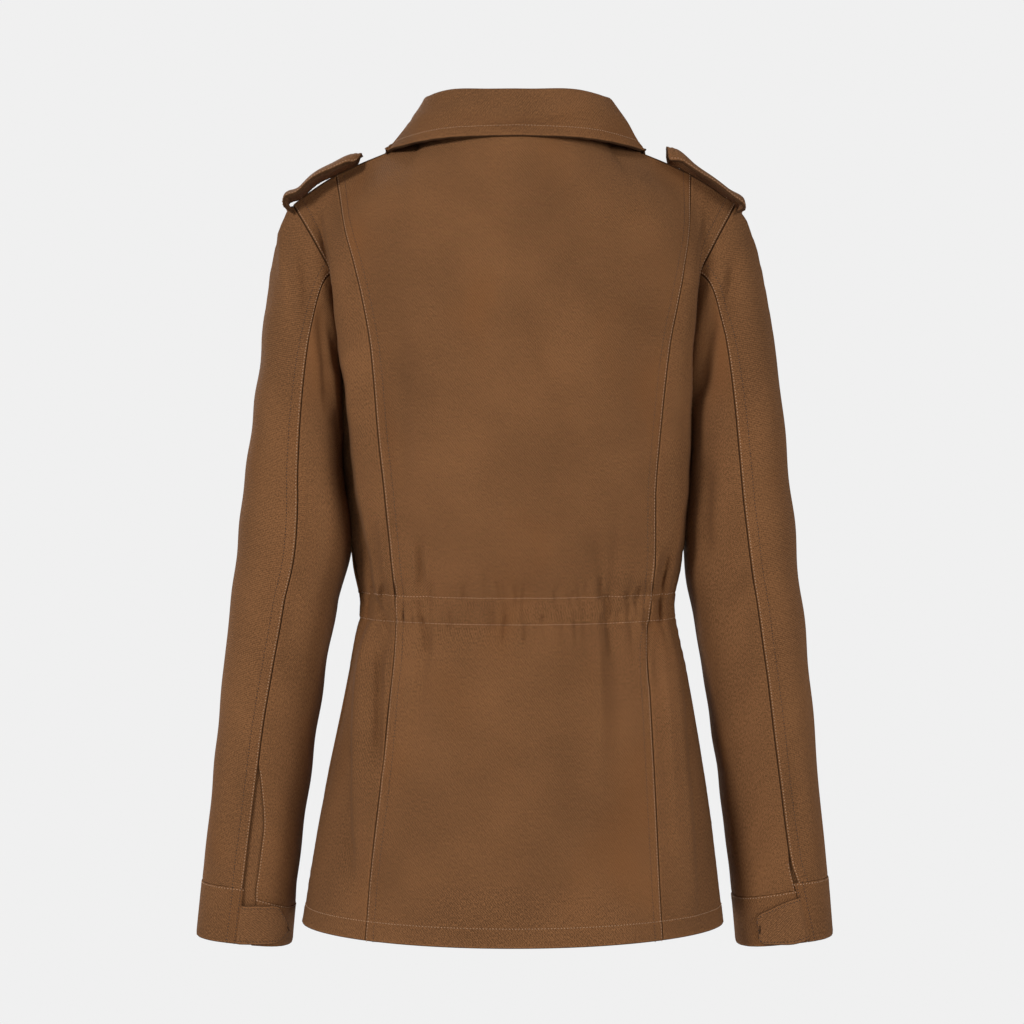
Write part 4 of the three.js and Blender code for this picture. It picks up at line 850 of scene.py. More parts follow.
BUTTON_PROFILE = ((0.01, 0), (7.9, 0), (8.4, 0.5), (8.5, 1.3), (8.3, 2.3), (7.7, 2.9), (7.0, 3.0), (6.3, 2.7),
                  (5.6, 2.25), (4.4, 2.1), (2.2, 2.05), (0.01, 2.05))


def turned(profile, around):
    """A mesh turned about Z from a profile of radii and heights."""
    angles = np.linspace(0, 2 * math.pi, around, endpoint=False)
    places = [(r * math.cos(a) * MM, r * math.sin(a) * MM, h * MM) for r, h in profile for a in angles]
    faces = [
        (j * around + i, j * around + (i + 1) % around, (j + 1) * around + (i + 1) % around, (j + 1) * around + i)
        for j in range(len(profile) - 1) for i in range(around)
    ]
    faces += [tuple(reversed(range(around))), tuple((len(profile) - 1) * around + i for i in range(around))]
    mesh = bpy.data.meshes.new("turned")
    mesh.from_pydata(places, [], faces)
    return mesh


holes = bpy.data.objects.new("button_holes", bpy.data.meshes.new("button_holes"))
hole_places, hole_faces = [], []
for x, y in ((1.5, 1.5), (-1.5, 1.5), (-1.5, -1.5), (1.5, -1.5)):
    first = len(hole_places)
    ring = [(x + 0.85 * math.cos(a), y + 0.85 * math.sin(a)) for a in np.linspace(0, 2 * math.pi, 14, endpoint=False)]
    hole_places += [(a * MM, b * MM, h * MM) for h in (-1, 4) for a, b in ring]
    hole_faces += [(first + i, first + (i + 1) % 14, first + 14 + (i + 1) % 14, first + 14 + i) for i in range(14)]
    hole_faces += [tuple(first + i for i in reversed(range(14))), tuple(first + 14 + i for i in range(14))]
holes.data.from_pydata(hole_places, [], hole_faces)
scene.collection.objects.link(holes)
blank = bpy.data.objects.new("button_blank", turned(BUTTON_PROFILE, 40))
scene.collection.objects.link(blank)
bored = blank.modifiers.new("bored", "BOOLEAN")
bored.operation = "DIFFERENCE"
bored.solver = "EXACT"
bored.object = holes
button_mesh = bpy.data.meshes.new_from_object(blank.evaluated_get(bpy.context.evaluated_depsgraph_get()))
button_places = np.array([v.co[:] for v in button_mesh.vertices])
button_faces = [tuple(p.vertices) for p in button_mesh.polygons]
for spare in (blank, holes):
    bpy.data.objects.remove(spare)
for i, v in enumerate(BUTTON_ROWS):
    name = f"front_button_{i + 1}"
    centre = torso(FRONT, np.zeros(1), np.full(1, v))[0]
    facing = Vector(outward(lambda a, b: torso(FRONT, a, b), np.zeros(1), np.full(1, v), 1)[0])
    turn = np.array(facing.to_track_quat("Z", "Y").to_matrix())
    seat = (centre + np.array(facing) * 3.1) * MM
    mesh = bpy.data.meshes.new(name)
    mesh.from_pydata((button_places @ turn.T + seat).tolist(), [], button_faces)
    mesh.materials.append(horn_finish)
    mesh.polygons.foreach_set("use_smooth", [len(f) < 8 for f in button_faces])
    piece = bpy.data.objects.new(name, mesh)
    scene.collection.objects.link(piece)
    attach(piece, "root")
    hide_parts(name)
    for a, b in (((1.5, 1.5), (-1.5, -1.5)), ((-1.5, 1.5), (1.5, -1.5))):
        run = np.linspace(0, 1, 9)[:, None]
        line = np.array([*a, 1.2]) * (1 - run) + np.array([*b, 1.2]) * run
        line[:, 2] += 1.5 * np.sin(run[:, 0] * math.pi) ** 0.5
        stitch_paths["front_stitches"] += [(line @ turn.T) + centre + np.array(facing) * 3.1]


# Patch pockets
# Bellows-free patch pockets on the lower fronts, each a doubled patch with a stitched edge and a flap
# sewn on above it, a little wider than the patch.
def front_columns(side, row, first, last):
    """Places across a front panel at shares of its width."""
    pace = float(np.interp(row, front_rows, front_pace))
    start = side * 0.15 / pace
    return start + (side - start) * first, start + (side - start) * last


for side, hand in ((1, "left"), (-1, "right")):
    for kind, low, high, lift, wider in (("pocket", 0.027, 0.258, 3.0, 0), ("pocket_flap", 0.216, 0.295, 5.8, 2)):
        name = f"{kind}_{hand}"
        up = np.unique(np.concatenate([
            low + close_at(7.5) / 729, np.linspace(low + 0.02, high - 0.02, round((high - low) * 240)),
            high - close_at(7.5) / 715]))
        ends = np.array([front_columns(side, v, 2 / 9, 7 / 9) for v in up])
        pace = np.interp(up, front_rows, front_pace)
        ends += np.stack([-side * wider / pace, side * wider / pace], -1)
        if side < 0:
            ends = ends[:, ::-1]
        wide = float((abs(ends[:, 1] - ends[:, 0]) * pace).mean())
        share = np.unique(np.concatenate([
            close_at(7.5), np.linspace(13, wide - 13, 22), wide - close_at(7.5)])) / wide
        across = ends[:, :1] + (ends[:, 1:] - ends[:, :1]) * share
        thread, run, climb = patch(name, FRONT, across, up[:, None] + 0 * across, lift, 2.2, 1.5,
                                   trim_finish if wider else cloth_finish, name)
        stitch_paths["front_stitches"] += [thread[:, 3], thread[:, -4], thread[3], thread[-4]]


# Waist casing
# A flat strip sewn inside round the waist between the two rows of stitches that gather the body.
CASING_TURNS = np.linspace(-1.94, 1.94, 240)
casing_rows = np.linspace(0.366, 0.4, 12)
turns, up = np.meshgrid(CASING_TURNS, casing_rows)
on_back = np.abs(turns) <= 1
s = np.where(on_back, turns, np.sign(turns) * (2 - np.abs(turns)))
smooth_back, smooth_front = torso_base(BACK, s, up), torso_base(FRONT, s, up)
ways = [outward(lambda a, b, half=half: torso_base(half, a, b), s, up, half["out"]) for half in (BACK, FRONT)]
way = np.where(on_back[..., None], *ways)
outer = np.where(on_back[..., None], smooth_back, smooth_front) - way * 4.9
outer += way * (0.35 * np.sin(turns * 43 + 2 * np.sin(turns * 11)))[..., None]
laid_out(cloth("waist_casing", outer, way, 1.0, np.full(turns.shape, 30.0), cloth_finish), outer,
         ["waist_casing"])


# Sleeves
# Two-piece sleeves: a wide top sleeve over the arm and a narrow one under it. The back seam is turned
# towards the top sleeve and stitched twice, the front seam is plain, and the cap is set into the
# armhole. Above the cuff the back seam is left open as a vent.
SLEEVE = table("z out into mid deep tilt left right", [
    (-620, 268.6, 188.5, -22, 44, 0.1, 0, 1),
    (-571, 264.2, 184, -20, 45, 0.16, -1, 1),
    (-500, 256.5, 175.3, -17, 47.5, 0.12, -1, 2),
    (-450, 251.5, 168.6, -15, 50, 0.1, -1, 2.5),
    (-399, 246, 160.8, -13, 53, 0.08, -1, 3),
    (-332, 239, 149, -11, 56, 0.05, -1, 3),
    (-298, 235, 143.6, -10, 57, 0.03, -1, 4),
    (-264, 231.5, 143, -9, 58, 0.015, -1, 4.5),
    (-232, 227.5, 144.5, -9, 58.5, 0, -1, 5),
])
CAP = table("p x y z pull", [
    (0, 0.83, 0, -0.55, 0.3),
    (0.12, 0.8, 0.5, -0.45, 0.32),
    (0.25, 0.75, 0.62, -0.3, 0.42),
    (0.38, 0.8, 0.3, -0.5, 0.42),
    (0.5, 0.7, 0, -1, 0.5),
    (0.62, 0.7, -0.45, -0.5, 0.42),
    (0.75, 0.78, -0.6, -0.3, 0.42),
    (0.88, 0.8, -0.5, -0.45, 0.32),
    (1, 0.83, 0, -0.55, 0.3),
])
SLEEVE_SEAM = table("z left right left_vent right_vent", [
    (-620, 3, 19, 0, 0),
    (-587, 2, 14, 12.5, 2),
    (-571, 1.7, 12, 12.5, 3.4),
    (-551, 1.5, 8, 12, 2.4),
    (-520, 1.2, 6.6, 9, 0),
    (-490, 0.8, 6, 3, 0),
    (-470, 0.5, 5.5, 0, 0),
    (-435, 0, 5, 0, 0),
    (-332, -4, 5, 0, 0),
    (-232, -6, -1, 0, 0),
])
SLEEVE_FOLDS = table("side face x0 z0 x1 z1 wide lift", [
    (1, 1, 190, -12, 186, -90, 7, 2),
    (1, 1, 176, -30, 168, -110, 7, -2),
    (1, 1, 200, -290, 172, -330, 10, -2),
    (1, 1, 214, -360, 186, -395, 10, 1.6),
    (1, 1, 226, -480, 240, -560, 9, -1.6),
    (-1, 1, -182, -38, -172, -110, 9, -3),
    (-1, 1, -165, -100, -160, -160, 10, -2.5),
    (-1, 1, -164, -195, -158, -270, 8, -2),
    (-1, 1, -206, -300, -178, -345, 10, -2),
    (-1, 1, -230, -470, -240, -560, 9, -1.6),
    (1, -1, 170, -60, 165, -150, 9, -2.5),
    (-1, -1, -170, -60, -165, -150, 9, -2.5),
    (1, -1, 160, -320, 205, -345, 9, -2.5),
    (-1, -1, -160, -325, -205, -350, 9, -2.5),
    (1, -1, 168, -380, 215, -390, 9, -2),
    (-1, -1, -168, -372, -215, -385, 9, -2),
])
SLEEVE_CREASES = {1: (
    (6, -5, (162, -75), (158, -110), (152, -150), (148, -190)),
    (5, 3, (150, -135), (147, -158), (149, -185)),
    (4, 1.8, (196, -12), (193, -40), (189, -75)),
    (3.5, -1.6, (190, -18), (186, -60), (182, -100)),
    (3.5, 1.6, (184, -30), (180, -70), (176, -110)),
    (4, -1.6, (176, -48), (170, -90)),
    (9, -2.0, (208, -180), (180, -215), (158, -235)),
    (10, -1.8, (214, -330), (186, -368)),
    (9, 1.5, (226, -400), (196, -440)),
    (8, -1.6, (232, -455), (240, -545)),
), -1: (
    (7, -5.5, (-171, -70), (-163, -100), (-155, -135), (-150, -170)),
    (8, -7, (-153, -205), (-154, -240), (-155, -272), (-157, -304)),
    (5, -3, (-184, -45), (-180, -80), (-172, -104)),
    (5, 2, (-176, -48), (-170, -80)),
    (8, 1.6, (-172, -210), (-176, -250), (-170, -290)),
    (9, -1.8, (-214, -300), (-186, -336)),
    (9, 1.4, (-226, -380), (-200, -412)),
    (8, -1.6, (-228, -440), (-238, -540)),
)}
SLEEVE_STANDS = {
    1: table("z x stand", [(-400, 158, 0), (-340, 148, 8), (-290, 141.5, 14), (-250, 139.5, 18), (-210, 140.5, 18),
                           (-170, 144.5, 15), (-130, 150, 9), (-95, 157, 0)]),
    -1: table("z x stand", [(-400, 160, 0), (-340, 155, 2), (-300, 151, 3), (-250, 149, 4), (-200, 150, 4), (-150, 155, 0)]),
}
CUFF_DROP = table("p left right", [(0.16, 5, 3.5), (0.25, 8, 3.5), (0.4, 12, 3.5), (0.5, 12.5, 3.5), (0.655, 8, 2.5),
                                   (1.0, 3.6, 0.5), (1.18, 0, -3.2)])
VENTS = {
    1: table("z wide", [(-620, 12.5), (-585.6, 12.5), (-561.5, 10.2), (-548, 10.6), (-518, 10.8), (-507, 9.4),
                        (-497.5, 7.4), (-489, 5.4), (-477, 2.6), (-466, 0), (-440, 0)]),
    -1: table("z wide", [(-620, 3.6), (-585, 3.6), (-571, 3.2), (-551, 1.6), (-535, 0), (-500, 0)]),
}
LEFT_INTO = table("z less", [(-330, 0), (-298, 4.2), (-275, 5.5), (-250, 4.5), (-232, 2.5), (-200, 0)])
RING_TOP, RING_FOOT, CUFF_TOP = -232, -618, -571
CUFF_T = 1 + (CUFF_TOP - RING_TOP) / (RING_FOOT - RING_TOP)
BACK_SEAM = 0.5 * (1 - 0.857) / (1 - UNDERARM)
FRONT_SEAM = 1 - 0.5 * (1 - 0.705) / (1 - UNDERARM)
FRONT_SEAM_TURN = 232
CAP_FALL, RIGHT_PULL = 1.1, 1.35


def armhole_at(side, turn):
    """The armhole, round from the shoulder tip by the back and the underarm."""
    v = np.where(turn < 0.5, 1 - (1 - UNDERARM) * turn / 0.5, UNDERARM + (1 - UNDERARM) * (turn - 0.5) / 0.5)
    s = np.full_like(v, side)
    return np.where((turn < 0.5)[..., None], torso_base(BACK, s, v), torso_base(FRONT, s, v))


def sleeve_ring(side, z):
    swing = reading(SLEEVE, "left" if side > 0 else "right", z)
    out, into = reading(SLEEVE, "out", z) + swing, reading(SLEEVE, "into", z)
    if side > 0:
        into = into - np.where(np.asarray(z) > -330, np.maximum(0, reading(LEFT_INTO, "less", z)), 0)
    return (out + into) / 2, (out - into) / 2


def sleeve_tube(side, p, t):
    """The straight sleeve, t from 1 at its top ring to 2 at its foot."""
    z = RING_TOP + (t - 1) * (RING_FOOT - RING_TOP)
    middle, half = sleeve_ring(side, z)
    seam = 90 - np.degrees(np.arcsin(reading(SLEEVE_SEAM, "left" if side > 0 else "right", z) / half))
    turn = p - np.floor(p)
    angle = np.select(
        [turn < BACK_SEAM, turn < 0.5, turn < FRONT_SEAM],
        [seam * turn / BACK_SEAM, seam + (180 - seam) * (turn - BACK_SEAM) / (0.5 - BACK_SEAM),
         180 + (FRONT_SEAM_TURN - 180) * (turn - 0.5) / (FRONT_SEAM - 0.5)],
        FRONT_SEAM_TURN + (360 - FRONT_SEAM_TURN) * (turn - FRONT_SEAM) / (1 - FRONT_SEAM),
    )
    across = half * np.cos(np.radians(angle))
    swell = np.sin(np.radians(angle))
    y = reading(SLEEVE, "mid", z) + reading(SLEEVE, "deep", z) * (1.35 * swell - 0.35 * swell**3)
    return np.stack([side * (middle + across), y, z + reading(SLEEVE, "tilt", z) * across], -1)


def sleeve_base(side, p, t):
    p, t = np.broadcast_arrays(np.asarray(p, float), np.asarray(t, float))
    turn = p - np.floor(p)
    start, one = armhole_at(side, turn), np.ones_like(t)
    end = sleeve_tube(side, turn, one)
    reach = np.linalg.norm(end - start, axis=-1, keepdims=True)
    leave = np.stack([side * reading(CAP, "x", turn), reading(CAP, "y", turn), reading(CAP, "z", turn)], -1)
    leave /= np.linalg.norm(leave, axis=-1, keepdims=True)
    leave *= reach * reading(CAP, "pull", turn)[..., None] * (1 if side > 0 else RIGHT_PULL)
    arrive = sleeve_tube(side, turn, one + STEP) - end
    arrive *= reach * CAP_FALL / np.linalg.norm(arrive, axis=-1, keepdims=True)
    w = np.clip(t, -1, 1)[..., None]
    rest = 1 - w
    cap = (1 + 2 * w) * rest**2 * start + w * rest**2 * leave + w**2 * (3 - 2 * w) * end - w**2 * rest * arrive
    return np.where((t >= 1)[..., None], sleeve_tube(side, p, np.maximum(t, 1)), cap)


def sleeve(side, p, t):
    """The outer face of a sleeve, p once round it from the shoulder tip and t down it."""
    place = sleeve_base(side, p, t)
    way = outward(lambda a, b: sleeve_base(side, a, b), p, t, -side)
    folds = {on: {name: column[keep] for name, column in SLEEVE_FOLDS.items()}
             for on in (1, -1) for keep in [(SLEEVE_FOLDS["side"] == side) & (SLEEVE_FOLDS["face"] == on)]}
    x, z = place[..., 0], place[..., 2]
    lift = np.where(way[..., 1] > 0, fold_lift(folds[1], x, z) + crease_lift(SLEEVE_CREASES[side], x, z),
                    fold_lift(folds[-1], x, z))
    calm = smooth(0, 0.15, t) * (1 - smooth(CUFF_T - 0.08, CUFF_T, t)) * np.minimum(1, 2 * np.abs(way[..., 1]))
    place = place + way * (lift * calm)[..., None]
    past = side * x - reading(SLEEVE_STANDS[side], "x", z)
    stand = np.maximum(0, reading(SLEEVE_STANDS[side], "stand", z)) * smooth(0, 0.3, t) * (z < -90) * (z > -400)
    stand *= np.exp(-((past / np.where(past > 0, 22, 3)) ** 2)) * smooth(0.5, 0.46, p - np.floor(p))
    place[..., 1] += stand
    return place


def pace_round(side, p, t):
    ends = (sleeve_base(side, p + d, t) for d in (STEP, -STEP))
    return np.linalg.norm(next(ends) - next(ends), axis=-1) / (2 * STEP)


def vent_wide(side, t):
    z = RING_TOP + (t - 1) * (RING_FOOT - RING_TOP)
    return np.where(t < 1.4, 0, np.maximum(0, reading(VENTS[side], "wide", z)))


def round_at(side, from_seam, t):
    """Where round the straight sleeve a place lies that is so far across it from the back seam."""
    z = RING_TOP + (t - 1) * (RING_FOOT - RING_TOP)
    half = sleeve_ring(side, z)[1]
    seam_x = reading(SLEEVE_SEAM, "left" if side > 0 else "right", z)
    seam, angle = (np.degrees(np.arccos(np.clip(x / half, -1, 1))) for x in (seam_x, seam_x + from_seam))
    beyond = BACK_SEAM + (angle - seam) * (0.5 - BACK_SEAM) / (180 - seam)
    return np.where(angle < seam, BACK_SEAM * angle / seam, beyond)


def hung(side, p, t):
    """The sleeve as its cuff hangs: the cuff's seam lies lower beside the vent than on the outer side."""
    drop = reading(CUFF_DROP, "left" if side > 0 else "right", p) / 386
    into_cuff = np.clip((t - CUFF_T) / (2 - CUFF_T), 0, 1)
    return sleeve(side, p, t + drop * smooth(1.6, CUFF_T, t) * (1 - into_cuff) ** 2)


cap_start = close_at(7.5)[:8] / 75
tube_end = CUFF_T - close_at(7.5)[::-1] / 386
sleeve_rows = np.concatenate([
    cap_start, np.linspace(cap_start[-1], 1, 58)[1:-1], np.linspace(1, tube_end[0], 96)[:-1], tube_end])
down = sleeve_rows
for side, hand in ((1, "left"), (-1, "right")):
    surface = lambda p, t, side=side: hung(side, p, t)
    seam_at = np.full_like(down, BACK_SEAM)
    open_at = np.where(vent_wide(side, down) > 0, round_at(side, -vent_wide(side, down), down), BACK_SEAM)
    for name, start, end, bands in (
        (f"sleeve_top_{hand}", np.full_like(down, FRONT_SEAM), seam_at + 1, (0, 9.0)),
        (f"sleeve_under_{hand}", open_at, np.full_like(down, FRONT_SEAM), (0, 0)),
    ):
        p, from_start, from_end = spaced(surface, start, end, down, 2.9, *(band or 7.5 for band in bands))
        t = np.broadcast_to(down[:, None], p.shape)
        place = surface(p, t)
        run = np.where(t < 1, t * 200, 200 + (t - 1) * 386)
        relief = seam_relief(from_start, bands[0], run) + seam_relief(from_end, bands[1], run + 30)
        from_cap, from_cuff = np.where(t < 1, t * 75, 75 + (t - 1) * 386), (CUFF_T - t) * 386
        relief += seam_relief(from_cap, 0, run) - 0.3 * np.exp(-((from_cuff / 1.5) ** 2))
        calm = smooth(0, 14, np.minimum(from_start, from_end)) * smooth(0, 12, from_cap) * smooth(0, 20, from_cuff)
        relief += soft_waves(place[..., 0], place[..., 2], len(name) + side, 0.7, 46) * calm
        outer = place + way_out(place, -side) * relief[..., None]
        outer = armhole_hollow(outer, from_cap, (p - np.floor(p)) < 0.5)
        way = way_out(outer, -side)
        seam = np.minimum(np.minimum(from_start, from_end), np.minimum(from_cap, from_cuff + 0.5))
        laid_out(cloth(name, outer, way, CLOTH, seam, cloth_finish), outer, [name])
        if "top" in name:
            thread = outer + way * 0.12
            stitch_paths["sleeve_stitches"] += [thread[4:, -4]]
            stitch_paths["sunken_stitches"] += [thread[4:, -9]]
        else:
            stitch_paths["sleeve_stitches"] += [(outer + way * 0.12)[vent_wide(side, down) > 1, 3]]


# Vent strips
# A strip of the same twill behind each vent, sewn to the far edge of the opening, so that the vent
# shows cloth and not the arm.
VENT_UNDER = 6
for side, hand, first in ((1, "left", 1.60), (-1, "right", 1.77)):
    t = np.linspace(first, 1.997, 66)
    start, end = round_at(side, 4, t), round_at(side, -VENT_UNDER - vent_wide(side, t), t)
    p = start[:, None] + (end - start)[:, None] * np.linspace(0, 1, 16)
    place = sleeve(side, p, t[:, None] + 0 * p)
    way = way_out(place, -side)
    outer = place - way * 2.2
    run = np.linspace(0, 1, 16)[None] * (4 + VENT_UNDER + vent_wide(side, t))[:, None]
    laid_out(cloth(f"vent_strip_{hand}", outer, way, 1.0, run, trim_finish), outer,
             [f"vent_strip_{hand}"])


# Cuffs
# A doubled band round the end of each sleeve with a turned lower edge, stitched along the seam and with two
# short rows down its end by the vent; its ends meet at the vent, under the tab.
CUFF_THICK = 2.2
cuff_rows = np.concatenate([
    CUFF_T + (0.1 + close_at(7.5)[:8]) / 386, np.linspace(CUFF_T + 8.5 / 386, 2 - 8.5 / 386, 14),
    2 - close_at(7.5)[:8][::-1] / 386])
for side, hand in ((1, "left"), (-1, "right")):
    ends = round_at(side, -(12.5 if side > 0 else 3.4), cuff_rows), round_at(side, -0.3 if side > 0 else -2.9, cuff_rows) + 1
    p = ends[0][:, None] + (ends[1] - ends[0])[:, None] * np.linspace(0, 1, 150)
    t = cuff_rows[:, None] + 0 * p
    place = hung(side, p, t)
    top, foot = (t - CUFF_T) * 386, (2 - t) * 386
    relief = 0.5 - 0.5 * np.exp(-((top / 0.6) ** 2)) - 0.5 * np.exp(-((foot / 0.7) ** 2))
    relief -= 0.3 * (np.exp(-(((top - 1.5) / 0.7) ** 2)) + np.exp(-(((foot - 1.5) / 0.7) ** 2)))
    relief += 0.22 * np.sin(p * 160 + 2 * np.sin(p * 37)) * (np.exp(-((top / 7) ** 2)) + 0.6 * np.exp(-((foot / 6) ** 2)))
    outer = place + way_out(place, -side) * relief[..., None]
    way = way_out(outer, -side)
    laid_out(cloth(f"cuff_{hand}", outer, way, CUFF_THICK, np.minimum(top + 0.4, foot), cloth_finish), outer,
             [f"cuff_{hand}"])
    thread = outer + way * 0.12
    stitch_paths["sleeve_stitches"] += [thread[3]]
    stitch_paths["sunken_stitches"] += [thread[1:-1, -2], thread[1:-1, -5]]


# Cuff tabs
# A pointed doubled tab on each cuff, sewn in at the vent and lying round towards the inner side,
# stitched all round near its edge.
TABS = {
    1: table("reach upper lower", [(0, -585.3, -617.6), (22, -585.6, -618), (31, -586.5, -618), (36, -594.5, -614.5),
                                   (39, -601, -609.5), (40.5, -604.5, -606.5)]),
    -1: table("reach upper lower", [(0, -577.5, -613), (15, -582.3, -617.5), (29, -588.3, -618), (37.5, -592.3, -618),
                                    (40.8, -596.5, -617), (42.6, -605, -612.5)]),
}
for side, hand in ((1, "left"), (-1, "right")):
    length = TABS[side]["reach"][-1]
    reach = np.concatenate([[0, 0.5, 1, 1.6], np.linspace(2.4, length - 7, 18), np.linspace(length - 7, length, 18)[1:]])
    upper, lower = reading(TABS[side], "upper", reach), reading(TABS[side], "lower", reach)
    wide = upper - lower
    share = np.concatenate([[0, 0.015, 0.03, 0.05, 0.075], np.linspace(0.1, 0.9, 14), [0.925, 0.95, 0.97, 0.985, 1]])
    z = upper[:, None] - wide[:, None] * share
    t = 1 + (z - RING_TOP) / (RING_FOOT - RING_TOP)
    middle = sleeve_ring(side, z)[0]
    across = reading(SLEEVE_SEAM, hand, z) + 1 - reach[:, None]
    bent = across * (1 - 0.09 * (reach[:, None] / length) ** 2)
    place = sleeve(side, round_at(side, bent - reading(SLEEVE_SEAM, hand, z), t), t)
    place[..., 0], place[..., 2] = side * (middle + across), z
    place[..., 1] += 1.2 * np.sin(reach[:, None] / length * 5) * (share - 0.5)
    way = way_out(place, side)
    edge = np.minimum(share, 1 - share) * wide[:, None]
    edge = np.minimum(edge, np.minimum(reach, length - reach)[:, None])
    relief = 3.2 * smooth(-1, 5, reach[:, None]) - 0.6 * np.exp(-((edge / 0.8) ** 2)) - 0.25 * np.exp(-(((edge - 2.2) / 0.7) ** 2))
    outer = place + way * relief[..., None]
    way = way_out(outer, side)
    laid_out(cloth(f"cuff_tab_{hand}", outer, way, 2.2, edge, trim_finish), outer,
             [f"cuff_tab_{hand}"])
    thread = outer + way * 0.12
    stitch_paths["sunken_stitches"] += [thread[4:-4, 4], thread[4:-4, -5], thread[-4, 4:-4]]


# Collar
# A shirt collar of doubled twill: a stand that rises from the neckline and a fall that rolls over it
# and lies out on the shoulders, stitched round 9 mm inside its edge. Its left side has sunk a little.
COLLAR = table("a neck_x neck_y neck_z fold_x fold_y fold_z edge_x edge_y edge_z", [
    (0, 0, 55, 57, 0, 50, 91, 0, 71, 51),
    (30, 38, 48, 57, 43, 43, 91.5, 52, 65, 50),
    (60, 66, 28.5, 57.5, 73, 23, 91, 92, 38, 47.5),
    (90, 76, 2, 58, 82, -4, 89, 112, 0, 45),
    (120, 66, -36.5, 17, 71, -44, 55, 112, -45, 24),
    (150, 38, -64.7, -13, 42, -74, 18, 92, -91, -18),
    (174, 8, -74.6, -24, 9, -89, 1, 60, -112, -58),
])
STAND_IN, STAND_FOOT, DOUBLED, LEAF = 1.2, 2, 2.4, 2
SLUMP, ROLL, COLLAR_END, NECK_BACK = 0.955, 7, 174, 10
STAND_TOP, STAND_CLEAR = -7, 0.6
ROLL_DROP = (-3, -3.5, -4)
UP = np.array([0, 0, 1.0])


def collar_path(angle):
    a = np.minimum(np.abs(angle), COLLAR_END)
    neck, fold, edge = (np.stack([
        np.sign(angle) * reading(COLLAR, line + "_x", a), reading(COLLAR, line + "_y", a),
        reading(COLLAR, line + "_z", a)], -1) for line in ("neck", "fold", "edge"))
    fold[..., 0] *= np.where(angle > 0, SLUMP, 1)
    fold[..., 2] -= (1.8 * smooth(36, 66, a) + 2.8 * smooth(58, 90, a)) * (1 - smooth(112, 150, a))
    out = fold * (1, 1, 0) + (0, NECK_BACK, 0)
    return neck, fold, edge, out / np.linalg.norm(out, axis=-1, keepdims=True)


def through(marks, knots, at):
    """A smooth line through knots, at each of its marks' values."""
    names = [str(i) for i in range(knots[0].size)]
    rows = dict(zip(["mark", *names], [np.array(marks), *np.array([k.ravel() for k in knots]).T]))
    return np.stack([reading(rows, name, at) for name in names], -1).reshape(len(at), *knots[0].shape)


collar_turns = np.linspace(1 - COLLAR_END, COLLAR_END - 1, 220)
neck, fold, edge, out = collar_path(collar_turns)
up = np.linspace(0, 1, 14)[:, None, None]
stand_foot = neck - out * (STAND_IN + DOUBLED) + UP * STAND_FOOT
stand_top = fold - out * ROLL / 2 + UP * (STAND_TOP - STAND_CLEAR)
stand = stand_foot * (1 - up) + stand_top * up
way = way_out(stand, 1)
laid_out(cloth("collar_stand", stand, way, 2.2, np.full(stand.shape[:2], 30.0), cloth_finish), stand,
         ["collar_stand"])

leaf_marks = np.concatenate([np.linspace(0, 0.32, 18)[:-1], np.linspace(0.32, 0.9, 26)[:-1],
                             1 - np.array([8.5, 7, 5, 3.5, 2.4, 1.7, 1.1, 0.6, 0.2, 0]) / 85])
leaf = through((0, 0.1, 0.2, 0.3, 0.65, 1), (
    fold - out * ROLL / 2 + UP * STAND_TOP,
    fold - out * ROLL / 2 + UP * ROLL_DROP[0],
    fold,
    fold + out * ROLL / 2 + UP * ROLL_DROP[1],
    (fold + out * ROLL / 2 + UP * ROLL_DROP[2]) * 0.5 + edge * 0.5,
    edge,
), leaf_marks)
side_on = np.exp(-(((np.abs(collar_turns) - 95) / 26) ** 2)) * smooth(0.5, 1, leaf_marks)[:, None]
sunk = smooth(25, 85, collar_turns) * (0.012 + 0.04 * np.sin(math.pi * np.minimum(1, leaf_marks * 0.95)))[:, None]
leaf[..., 0] *= 1 - sunk - 0.012 * side_on
leaf[..., 2] -= 2.4 * side_on
under_s, under_v = np.meshgrid(np.linspace(-1, 1, 121), np.linspace(0.8, 1, 40))
under = torso(BACK, under_s, under_v).reshape(-1, 3)
for i in np.flatnonzero(leaf_marks > 0.5):
    off = (leaf[i, :, None, 0] - under[:, 0]) ** 2 + (leaf[i, :, None, 2] - under[:, 2]) ** 2
    rest_y = under[off.argmin(1), 1] + LEAF + 0.9
    rest_y = np.convolve(np.pad(rest_y, 6, "edge"), np.ones(13) / 13, "valid")
    sink = np.clip(leaf[i, :, 1] - rest_y, 0, 9) * smooth(0.5, 0.97, leaf_marks[i]) * (1 - smooth(76, 98, abs(collar_turns)))
    leaf[i, :, 1] -= sink
way = way_out(leaf, 1)
climb = np.linalg.norm(np.diff(leaf[::-1], axis=0), axis=-1).cumsum(0)
climb = np.concatenate([np.zeros((1, leaf.shape[1])), climb])[::-1]
run = np.linalg.norm(np.diff(leaf, axis=1), axis=-1).cumsum(1)
run = np.concatenate([np.zeros((len(leaf), 1)), run], 1)
seam = np.minimum(climb, np.minimum(run, run[:, -1:] - run))
COLLAR_STITCH = 9
relief = -0.6 * np.exp(-((seam / 0.9) ** 2)) - 0.35 * np.exp(-(((climb - COLLAR_STITCH) / 1.0) ** 2))
relief += 0.25 * np.sin(run / 3.3 + 2 * np.sin(run / 19)) * np.exp(-(((climb - 5) / 6) ** 2))
relief += soft_waves(leaf[..., 0], leaf[..., 2] * 1.5, 5, 0.5, 38) * smooth(0, 8, seam)
